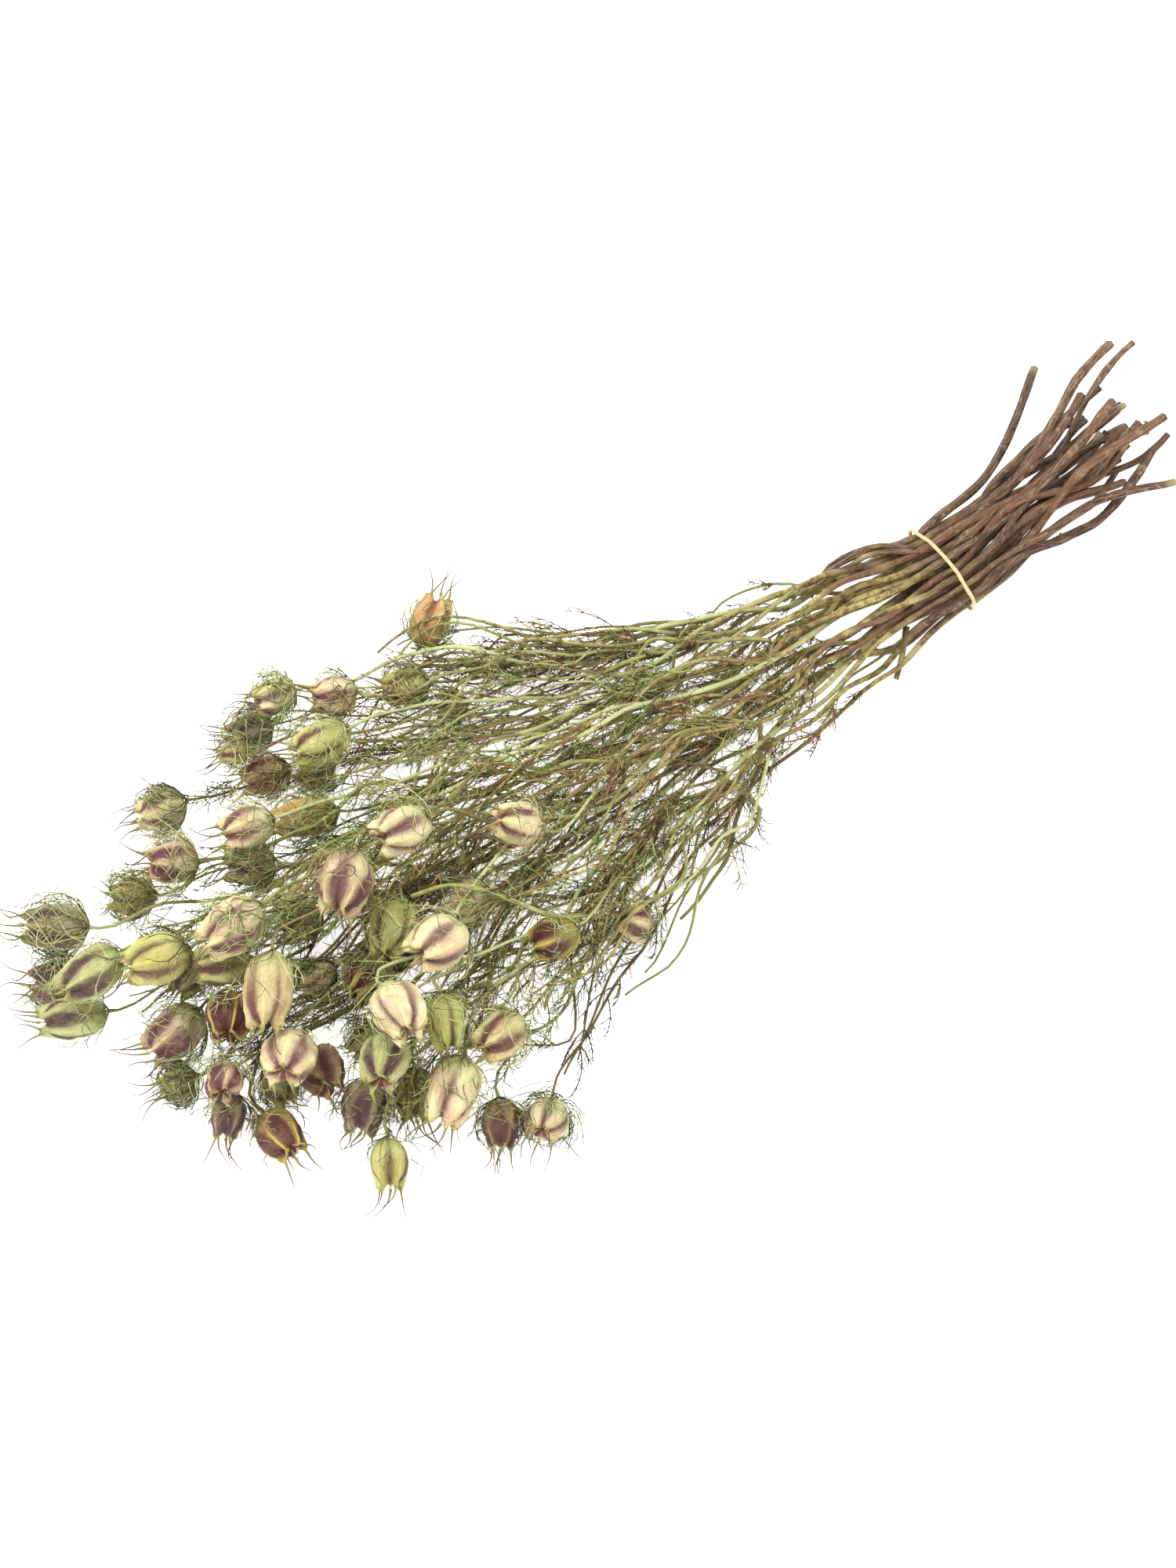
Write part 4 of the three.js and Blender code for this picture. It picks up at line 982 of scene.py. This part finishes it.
# The surface of a pod: five swelling lobes that end in webbed points round a sunken star
def pod_surface(pod, draw):
    across, other = pod.sides()
    u = np.arange(POD_SIDES) / POD_SIDES
    phase = u * 5
    angle = pod.turn + math.pi / 5 + 2 * math.pi * u
    crest = 1 - np.abs((phase % 1) * 2 - 1)
    groove = np.exp(-(crest / GROOVE_WIDTH) ** 2)
    rib = np.exp(-((1 - crest) / RIB_WIDTH) ** 2)
    swell = draw.uniform(*SWELL)
    flat = draw.uniform(*SQUASH, 2)
    lobes = np.repeat(draw.uniform(*LOBE_SIZES, 5), POD_SIDES // 5)
    lobes = np.convolve(np.tile(lobes, 3), np.ones(5) / 5, "same")[POD_SIDES:2 * POD_SIDES]
    share = (np.arange(POD_STEPS) + 0.35) / (POD_STEPS + 0.1)
    heights = -0.5 + SKIN_TOP * (0.5 - 0.5 * np.cos(np.pi * share))
    rings, uvs = [], []
    for height in heights:
        reach = (1 - min(0.995, abs(2 * height) ** 2.5)) ** 0.52
        top = np.clip((height - 0.05) / 0.38, 0, 1)
        width = reach * lobes * (1 - swell * (0.55 + 0.9 * top) * groove + 0.03 * rib)
        width = width + top ** 4 * (0.17 * crest ** 6 - 0.05 * groove)
        lift = height + top ** 3 * (0.12 * crest ** 8 - 0.03 * groove)
        radial = pod.width / 2 * width
        rings.append(pod.centre + pod.axis * (lift * pod.length)[:, None]
                     + across * (flat[0] * radial * np.cos(angle))[:, None]
                     + other * (flat[1] * radial * np.sin(angle))[:, None])
        uvs.append(np.stack([phase, np.full(POD_SIDES, height + 0.5)], 1))
    rim = rings[-1]
    for k, (width, depth) in enumerate(STAR_RINGS):
        middle = pod.centre + pod.axis * (0.445 - depth) * pod.length
        ridge = pod.axis * (0.07 * pod.length * (crest ** 3 - 0.4) * width)[:, None]
        rings.append(lerp(middle, rim, width) + ridge)
        uvs.append(np.stack([phase, np.full(POD_SIDES, 0.97 + 0.01 * k)], 1))
    rings = np.array(rings)
    wrinkle(rings.reshape(-1, 3), pod, draw)
    return rings, np.array(uvs)


# Dents and wrinkles of a dried skin, pushed along the way out from the pod's middle
def wrinkle(points, pod, draw):
    dents = CRUMPLED.get(pod.name, draw.uniform(*DENTS))
    seed = Vector(draw.uniform(0, 90, 3))
    for k, point in enumerate(points):
        waves = [noise.noise(Vector(point) * scale + seed) for scale in DENT_SCALES]
        dent = waves[0] * dents
        crease = abs(waves[1]) * (0.04 + dents * 0.9)
        fine = waves[2] * (0.012 + dents * 0.22)
        points[k] = point + (point - pod.centre) * (dent - crease + fine + 0.015)


def add_pod(build, pod, tips, draw):
    rings, uvs = pod_surface(pod, draw)
    count = len(rings)
    ends = [pod.centre - pod.axis * 0.5 * pod.length, pod.centre + pod.axis * STAR_DEPTH * pod.length]
    points = np.concatenate([rings.reshape(-1, 3), ends])
    keep_above(points, FLOOR_GAP)
    uv = np.concatenate([uvs.reshape(-1, 2), [[0.5, 0], [0.5, 1]]])
    tint = draw.uniform(0, 0.75)
    build.add(points, tube_faces(count, POD_SIDES), uv, 5, tint=tint)
    k = np.arange(POD_SIDES)
    low = np.stack([(k + 1) % POD_SIDES, k, np.full(POD_SIDES, count * POD_SIDES)], 1)
    start = (count - 1) * POD_SIDES
    high = np.stack([start + k, start + (k + 1) % POD_SIDES, np.full(POD_SIDES, count * POD_SIDES + 1)], 1)
    build.more(np.concatenate([low, high]), len(points))
    add_horns(build, pod, rings[POD_STEPS - 1], tips, draw)


# Dry horns, one from the point of each lobe to the corner of the pod's solid, straight, kinked or hooked
def add_horns(build, pod, rim, tips, draw):
    for k in range(5):
        root = rim[int(POD_SIDES * (k + 0.5) / 5)]
        out = root - pod.centre
        out = unit(out - pod.axis * (out @ pod.axis))
        corner = max(tips, key=lambda tip: float((tip - pod.axis * (tip @ pod.axis)) @ out))
        lean = max(0, (root - pod.centre - corner) @ out) + HORN_LEAN * draw.uniform(0, 1)
        tip = pod.centre + corner + out * lean
        size = float(np.linalg.norm(tip - root))
        turn = np.cross(pod.axis, out)
        steps = np.linspace(0, 1, HORN_STEPS)[:, None]
        reach = draw.choice([1.15, 1.0, 0.85, 0.6], p=[0.4, 0.3, 0.2, 0.1])
        curl = draw.uniform(-0.55, 0.55) * size
        hook = draw.uniform(-0.45, 0.55) * size
        line = root - out * 0.4 - pod.axis * 0.9 + (tip - root) * steps * reach
        line = line + out * (hook * (steps ** 3 - steps ** 1.6))
        line = line + turn * (curl * (steps ** 2.6 - steps * 0.7))
        kink = draw.integers(3, HORN_STEPS)
        line[kink:] += turn * draw.uniform(-1.6, 1.6) * (np.arange(HORN_STEPS - kink)[:, None] + 0.5) * 0.5
        keep_above(line, 0.5)
        radii = pod.width * 0.022 * (1 - steps[:, 0]) ** 4 + lerp(*HORN_RADII, steps[:, 0])
        uv = np.zeros((HORN_STEPS * HORN_SIDES, 2))
        uv[:, 0] = k + 0.5
        uv[:, 1] = np.repeat(1.04 + 0.9 * steps[:, 0], HORN_SIDES)
        build.add(rings_along(line, radii, HORN_SIDES), tube_faces(HORN_STEPS, HORN_SIDES), uv, tint=0.5)
        corners = np.arange(HORN_SIDES)
        caps = np.stack([corners[::-1], corners + (HORN_STEPS - 1) * HORN_SIDES])
        build.more(caps, HORN_STEPS * HORN_SIDES)


# A stem with ribs, a slow waver, swollen scarred nodes and cut ends
def add_stem(build, stem, draw):
    line, shares = smooth_line(stem.points, WOOD_STEP)
    places = range(len(stem.points))
    radii = np.interp(shares, places, [stem.radius(k) for k in places])
    lengths = lengths_along(line)
    if stem.pod:
        woody = np.clip((line[:, 0] + 60) / 80, 0, 1)
        radii *= draw.uniform(*FAN_THIN) * (1 - woody) + draw.uniform(*END_THIN) * woody
    pale, scars = np.zeros(len(line)), []
    place = draw.uniform(8, 30)
    while place < lengths[-1] - 25:
        k = int(np.argmin(np.abs(lengths - place)))
        radii[k] *= draw.uniform(1.04, 1.18)
        pale[k] = draw.uniform(0, 1) ** 3 * (1 if line[k][0] < -15 else 0.15)
        if draw.uniform() < SCAR_SHARE:
            scars.append(k)
        place += draw.uniform(*NODE_STEP)
    radii *= 1 + 0.06 * np.sin(lengths * 0.21 + draw.uniform(0, 6.3))
    if stem.parent is None and draw.uniform() < PALE_SHARE:
        pale[0] = 0.9
    if stem.pod:
        radii *= 1 + 0.55 * np.clip((lengths - lengths[-1] + 5) / 5, 0, 1) ** 2
    free = np.clip(np.minimum(lengths, lengths[-1] - lengths) / 35, 0, 1)
    free *= np.clip((np.abs(line[:, 0]) - 7) / 40, 0, 1)
    bends = [(draw.uniform(*pace), draw.uniform(0, 6.3), draw.uniform(*size)) for pace, size in WAVES]
    if stem.parent is None:
        beyond = np.clip((line[:, 0] - 12) / 60, 0, 1)
        free = np.maximum(free, beyond * 1.2)
        gather = 1 - GATHER * np.sin(np.pi * np.clip((line[:, 0] - 5) / 95, 0, 1))
        line[:, 1] = TIP_DRIFT * line[:, 0] + (line[:, 1] - TIP_DRIFT * line[:, 0]) * gather
        line[:, 2] *= gather
    for k, (pace, start, size) in enumerate(bends):
        room = free if k < 4 else free * np.clip(-line[:, 0] / 20, 0, 1)
        line[:, 1 + k % 2] += room * size * np.sin(lengths * pace + start)
    keep_above(line, radii + FLOOR_GAP)
    age = np.clip((110 - line[:, 0]) / 420, 0, 1) + draw.normal(0, 0.07)
    hue = draw.uniform(0, 1)
    sides = WOOD_SIDES[stem.parent is not None]
    add_tube(build, line, radii, sides, ridge=WOOD_RIDGE, cut_slot=1, age=age, pale=pale, hue=hue)
    for k in scars:
        add_scar(build, line[k], radii[k], pale[k], draw)
    return line, lengths


# The stub of a leaf or side shoot on a node
def add_scar(build, place, radius, pale, draw):
    way = unit(draw.normal(size=3) * np.array([0.5, 1, 1]))
    line = place + way * (np.array([0.3, 0.8, draw.uniform(1.2, 2.0)])[:, None] * radius)
    age = float(np.clip((110 - place[0]) / 420, 0, 1))
    add_tube(build, line, np.array([0.55, 0.45, 0.25]) * radius, 5, age=age, pale=pale, hue=0.5)


# A thin bare twig beside a stem, curving away and back
def twig_line(line, draw):
    line = line[line[:, 0] < TWIG_START]
    count = len(line)
    first = int(draw.integers(1, count * 3 // 5))
    last = min(count - 2, first + int(draw.integers(12, 44)))
    path = line[first:last].copy()
    share = np.linspace(0, 1, len(path))
    size = draw.uniform(4, 13)
    wave = np.sin(share * math.pi * draw.uniform(0.5, 2.2))
    path[:, 1] += wave * size * draw.choice([-1, 1])
    path[:, 2] += np.abs(wave) * size * draw.uniform(-0.1, 0.6)
    keep_above(path, 1)
    return path, draw.uniform(0.5, 1.05) * (1 - 0.5 * share)


# A bare shoot that bows out beyond the edge of the fan and comes back
def loop_line(line, draw):
    line = line[line[:, 0] < MAT_START]
    first = int(draw.integers(0, len(line) // 2))
    path = line[first:first + int(draw.integers(14, 30))].copy()
    share = np.linspace(0, 1, len(path))
    bow = np.sin(share ** draw.uniform(0.7, 1.4) * math.pi * draw.uniform(0.75, 1.1)) * draw.uniform(4, 21)
    ripple = np.sin(share * draw.uniform(5, 12)) * share * draw.uniform(1, 5)
    path[:, 1] += (bow + ripple) * np.sign(path[:, 1].mean())
    path[:, 0] += np.sin(share * math.pi * 2) * draw.uniform(-6, 6)
    path[:, 2] = np.maximum(path[:, 2] + np.abs(bow) * draw.uniform(-0.3, 0.7), 1)
    return path, draw.uniform(0.6, 1.0) * (1 - 0.35 * share)


# One divided leaf: a midrib with side threads, each forked again, all bent by the same soft curve
def leaf_lines(root, along, out, size, draw):
    turn = np.cross(along, out)
    droop = draw.uniform(-0.4, 0.4)

    def rib(t):
        t = np.asarray(t)[..., None]
        return root + (along * t + out * (0.8 * t - 0.45 * t ** 2) + turn * droop * t ** 2) * size

    ribs, branches, forks = [rib(np.linspace(0, 1, 5))], [], []
    t = np.linspace(0, 1, 4)[:, None]
    for k in range(4):
        share = 0.12 + 0.80 * (k + draw.uniform(0, 0.6)) / 4
        for side in (1, -1):
            reach = size * (0.54 - 0.28 * share) * draw.uniform(0.6, 1.3)
            way = unit(along * draw.uniform(0.5, 1.1) + turn * side * draw.uniform(0.3, 0.9)
                       + out * draw.uniform(-0.5, 0.5))
            curl = unit(draw.normal(size=3)) * draw.uniform(0.3, 1.1)
            branch = rib(share) + (way * t + curl * t ** 2) * reach
            branches.append(branch)
            fork = unit(way + draw.normal(size=3) * 0.45) * t[:3] - curl * t[:3] ** 2 * 0.7
            forks.append(branch[1] + fork * reach * draw.uniform(0.4, 0.8))
    return ribs, branches, forks


# Mats of divided leaves all along the fan, fresher towards the pods
def grow_leaves(build, lines, count, draw):
    grown = ([], [], [])
    dry = ([], [], [])
    weights = np.array([len(line) for line in lines], float)
    for _ in range(count):
        line = lines[draw.choice(len(lines), p=weights / weights.sum())]
        k = int(draw.integers(1, len(line) - 1))
        if not MAT_END < line[k][0] < MAT_START:
            continue
        along = unit(line[k + 1] - line[k])
        around = draw.normal(size=3)
        out = unit(around - along * (around @ along))
        thin = np.clip((-line[k][0] - 20) / 70, 0.35, 1)
        size = draw.uniform(*LEAF_SIZES) * thin
        brown = np.clip(0.88 + draw.normal() * 0.36 + line[k][0] / 330, 0, 1)
        for made, into, tint in zip(leaf_lines(line[k], along, out, size, draw), grown, dry):
            into += made
            tint += [brown] * len(made)
    for made, tint, between in zip(grown, dry, LEAF_RADII):
        radii = draw.uniform(*between, len(made))
        add_threads(build, made, radii, np.array(tint), draw.uniform(0, 1, len(made)))


# The ruff of divided bracts that cages a pod: long curling strands from its base, forked along the way
def grow_bracts(build, pod, draw):
    across, other = pod.sides()

    def at(height, angle, room):
        narrow = np.where(height > 0, 0.8, 1.0) * (2 * height) ** 2
        reach = pod.width / 2 * np.sqrt(np.clip(1 - narrow, 0.03, 1)) + np.maximum(room, 0.4)
        return (pod.centre + pod.axis * (height * pod.length)[:, None]
                + across * (reach * np.cos(angle))[:, None] + other * (reach * np.sin(angle))[:, None])

    # A line over the skin from a start, by its heading at each step
    def trail(height, angle, heading, size):
        step = size / (len(heading) - 1)
        rise = running(np.cos(heading[:-1])) * step / pod.length
        turn = running(np.sin(heading[:-1])) * step / (pod.width * 0.45)
        return height + rise, angle + turn

    strands, forks = [], []
    t = np.linspace(0, 1, STRAND_STEPS)
    s = np.linspace(0, 1, 5)
    top = lerp(*STRAND_TOPS, pod.wrap)
    for _ in range(int(lerp(*STRANDS, pod.wrap))):
        low = -0.56 if draw.uniform() < 0.5 else draw.uniform(-0.45, 0.1)
        size = (top - low + draw.normal(0, 0.15)) * pod.length * draw.uniform(0.8, 1.5)
        heading = draw.normal(0, 0.45)
        heading = heading + draw.uniform(0.2, 1.1) * np.sin(draw.uniform(3, 8) * t + draw.uniform(0, 6.3))
        heading = heading + draw.uniform(-1.3, 1.3) * t ** 2
        heights, angles = trail(low, draw.uniform(0, 2 * math.pi), heading, max(4, size))
        room = draw.uniform(0.5, 3.2) * np.minimum(1, 3 * t) + draw.uniform(0, 1) ** 3 * 13 * t ** 2.5
        strand = at(heights, angles, room)
        if low == -0.56:
            strand[0] = pod.centre - pod.axis * (0.5 * pod.length + 1.2)
        strands.append(strand)
        for p in draw.choice(np.arange(1, STRAND_STEPS - 1), 2, replace=False):
            way = heading[p] + draw.choice([-1, 1]) * draw.uniform(0.25, 0.8) + draw.uniform(-1.4, 1.4) * s
            fork_heights, fork_angles = trail(heights[p], angles[p], way, draw.uniform(3, 9))
            away = room[p] + draw.uniform(-1.2, 2.5) * s + draw.uniform(0, 1) ** 4 * 6 * s ** 2
            forks.append(at(fork_heights, fork_angles, away))
    brown = np.clip(draw.normal(0.30, 0.17), 0, 1)
    for made, between in zip((strands, forks), STRAND_RADII):
        tint = brown + 0.18 * draw.normal(size=len(made))
        add_threads(build, made, draw.uniform(*between, len(made)), tint, draw.uniform(0, 1, len(made)))


# The tie follows the outermost stems, as a flat twist of fibre
def add_tie(build):
    slots = bundle_slots()
    reach = BUNDLE_RADIUS + TOUCH_GAP + TIE_THICKNESS / 2
    places = []
    for k in range(TIE_DIRECTIONS):
        angle = 2 * math.pi * k / TIE_DIRECTIONS
        ny, nz = math.sin(angle), math.cos(angle)
        furthest = max(y * ny + z * nz for y, z, _ in slots)
        held = [slot for slot in slots if slot[0] * ny + slot[1] * nz > furthest - 1e-6]
        held.sort(key=lambda slot: slot[0] * nz - slot[1] * ny)
        for slot in dict.fromkeys([held[0], held[-1]]):
            places.append((slot[0] + ny * reach, slot[1] + nz * reach, ny, nz))
    places.append(places[0])
    line = np.array([[0, y, z] for y, z, _, _ in places])
    normals = np.array([[0, ny, nz] for _, _, ny, nz in places])
    lengths = lengths_along(line)
    at = np.linspace(0, lengths[-1], TIE_RINGS, endpoint=False)
    centre = np.stack([np.interp(at, lengths, line[:, axis]) for axis in range(3)], 1)
    normal = unit(np.stack([np.interp(at, lengths, normals[:, axis]) for axis in range(3)], 1))
    angle = 2 * math.pi * np.arange(TIE_SIDES) / TIE_SIDES
    along = np.cos(angle)[None] * (TIE_WIDTH / 2) * (1 + 0.08 * np.sin(at * 0.9))[:, None]
    outward = np.sin(angle)[None] * (TIE_THICKNESS / 2) * (1 + 0.10 * np.sin(at * 1.7 + 1))[:, None]
    drift = 0.35 * np.sin(at * 2 * math.pi / lengths[-1] * 3)
    rings = centre[:, None] + normal[:, None] * outward[..., None]
    rings[..., 0] += along + drift[:, None]
    keep_above(rings, FLOOR_GAP)
    faces = tube_faces(TIE_RINGS + 1, TIE_SIDES) % (TIE_RINGS * TIE_SIDES)
    build.add(rings, faces[:, ::-1], map_of(at[:, None], np.arange(TIE_SIDES)[None] / TIE_SIDES))


def main():
    random = make_random(7)
    pods = [Pod(index, row) for index, row in enumerate(PODS)]
    spread_pods(pods)
    mains = make_mains(pods, random)
    stems = mains + make_branches(pods, mains, random) + make_shoots(mains)
    settle_stems(stems, pods)

    low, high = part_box("tie")
    shift = np.array([(low.x + high.x) / 2, (low.y + high.y) / 2, 0]) * 1000

    bark, cut, fibre = stem_material(), cut_material(), tie_material()
    leaf, bract = (thread_material(f"thread_{kind}", *tones) for kind, tones in THREAD_TONES.items())
    tones = {tone: pod_material(tone) for tone in POD_TONES}

    def place(obj, slot, *nodes):
        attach(obj, "root")
        if nodes:
            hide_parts(*nodes)
        return obj

    tie = Build()
    add_tie(tie)
    place(tie.piece("tie_band", [fibre], shift), "tie", "tie")

    draw, bowed = np.random.default_rng(11), np.random.default_rng(23)
    built = {}
    for column in range(len(COLUMN_SIZES)):
        wood, lines = Build(), []
        for stem in stems:
            if stem.column == column:
                lines.append(add_stem(wood, stem, draw)[0])
        for _ in range(TWIGS // len(COLUMN_SIZES)):
            stout = [line for line in lines if len(line) > 20]
            twig, radii = twig_line(stout[int(draw.integers(len(stout)))], draw)
            add_tube(wood, twig, radii, 5, age=draw.uniform(0.3, 0.9), pale=0.0, hue=draw.uniform(0, 1))
            lines.append(twig)
        for _ in range(LOOPS[column]):
            loop, radii = loop_line(stout[int(bowed.integers(len(stout)))], bowed)
            age, hue = bowed.uniform(0.45, 0.85), bowed.uniform(0.3, 1)
            add_tube(wood, loop, radii, 6, age=age, pale=0.0, hue=hue)
        built[column] = wood, lines
    total = sum(len(line) for _, lines in built.values() for line in lines)
    for column, (wood, lines) in built.items():
        leaves, ruffs = Build(), Build()
        share = sum(len(line) for line in lines) / total
        grow_leaves(leaves, lines, int(MATS * share / MAT_HITS), draw)
        for stem in stems:
            if stem.column == column and stem.pod:
                grow_bracts(ruffs, stem.pod, draw)
        node = f"stems_{column + 1}"
        place(wood.piece(f"{node}_wood", [bark, cut], shift), "stem", node)
        place(leaves.piece(f"{node}_leaves", [leaf], shift), "stem", node)
        place(ruffs.piece(f"{node}_bracts", [bract], shift), "stem", node)

    for pod in pods:
        if pod.role == "small":
            pod.turn = draw.uniform(0, 6.28)
            across, other = pod.sides()
            spokes = [pod.turn + 2 * math.pi * k / 5 for k in range(5)]
            tips = [pod.axis * pod.length * 0.8
                    + (across * math.cos(a) + other * math.sin(a)) * pod.width * 0.4 for a in spokes]
        else:
            pod.turn, tips = turn_from_frame(pod, shift)
        build = Build()
        add_pod(build, pod, tips, draw)
        nodes = [] if pod.role == "small" else [pod.name]
        place(build.piece(f"{pod.name}_skin", [tones[pod.colour]], shift), f"pod_{pod.colour}", *nodes)
    return shift


# Plain pale floor, soft light from above and the front, and the photograph's camera
def make_stage(shift):
    bpy.ops.mesh.primitive_plane_add(size=FLOOR_SIZE, location=(0, 0, -FLOOR_DROP))
    floor = bpy.context.object
    floor.name = "floor"
    n = Nodes("floor_white")
    n.finish(Base_Color=(0.92, 0.92, 0.92), Roughness=0.9, Emission_Color=(1, 1, 1),
             Emission_Strength=FLOOR_GLOW)
    floor.data.materials.append(n.material)

    world = bpy.data.worlds.new("studio")
    world.use_nodes = True
    background = world.node_tree.nodes["Background"]
    background.inputs["Color"].default_value = (1, 1, 1, 1)
    background.inputs["Strength"].default_value = SKY_STRENGTH
    bpy.context.scene.world = world
    for name, place, size, power in LAMPS:
        light = bpy.data.lights.new(name, "AREA")
        light.shape = "SQUARE"
        light.size = size
        light.energy = power
        lamp = bpy.data.objects.new(name, light)
        lamp.location = place
        lamp.rotation_mode = "QUATERNION"
        lamp.rotation_quaternion = (-Vector(place)).to_track_quat("-Z", "Y")
        bpy.context.scene.collection.objects.link(lamp)
    bpy.context.scene.view_settings.view_transform = "Standard"

    a, e = math.radians(CAMERA_AZIMUTH), math.radians(CAMERA_ELEVATION)
    back = Vector((math.sin(a) * math.cos(e), -math.cos(a) * math.cos(e), math.sin(e)))
    target = Vector((np.array(CAMERA_TARGET) + shift) / 1000)
    data = bpy.data.cameras.new("camera")
    data.lens = CAMERA_LENS
    data.sensor_width = 36
    camera = bpy.data.objects.new("camera", data)
    camera.location = target + back * (CAMERA_DISTANCE / 1000)
    camera.rotation_mode = "QUATERNION"
    camera.rotation_quaternion = (-back).to_track_quat("-Z", "Y")
    bpy.context.scene.collection.objects.link(camera)
    bpy.context.scene.camera = camera


make_stage(main())
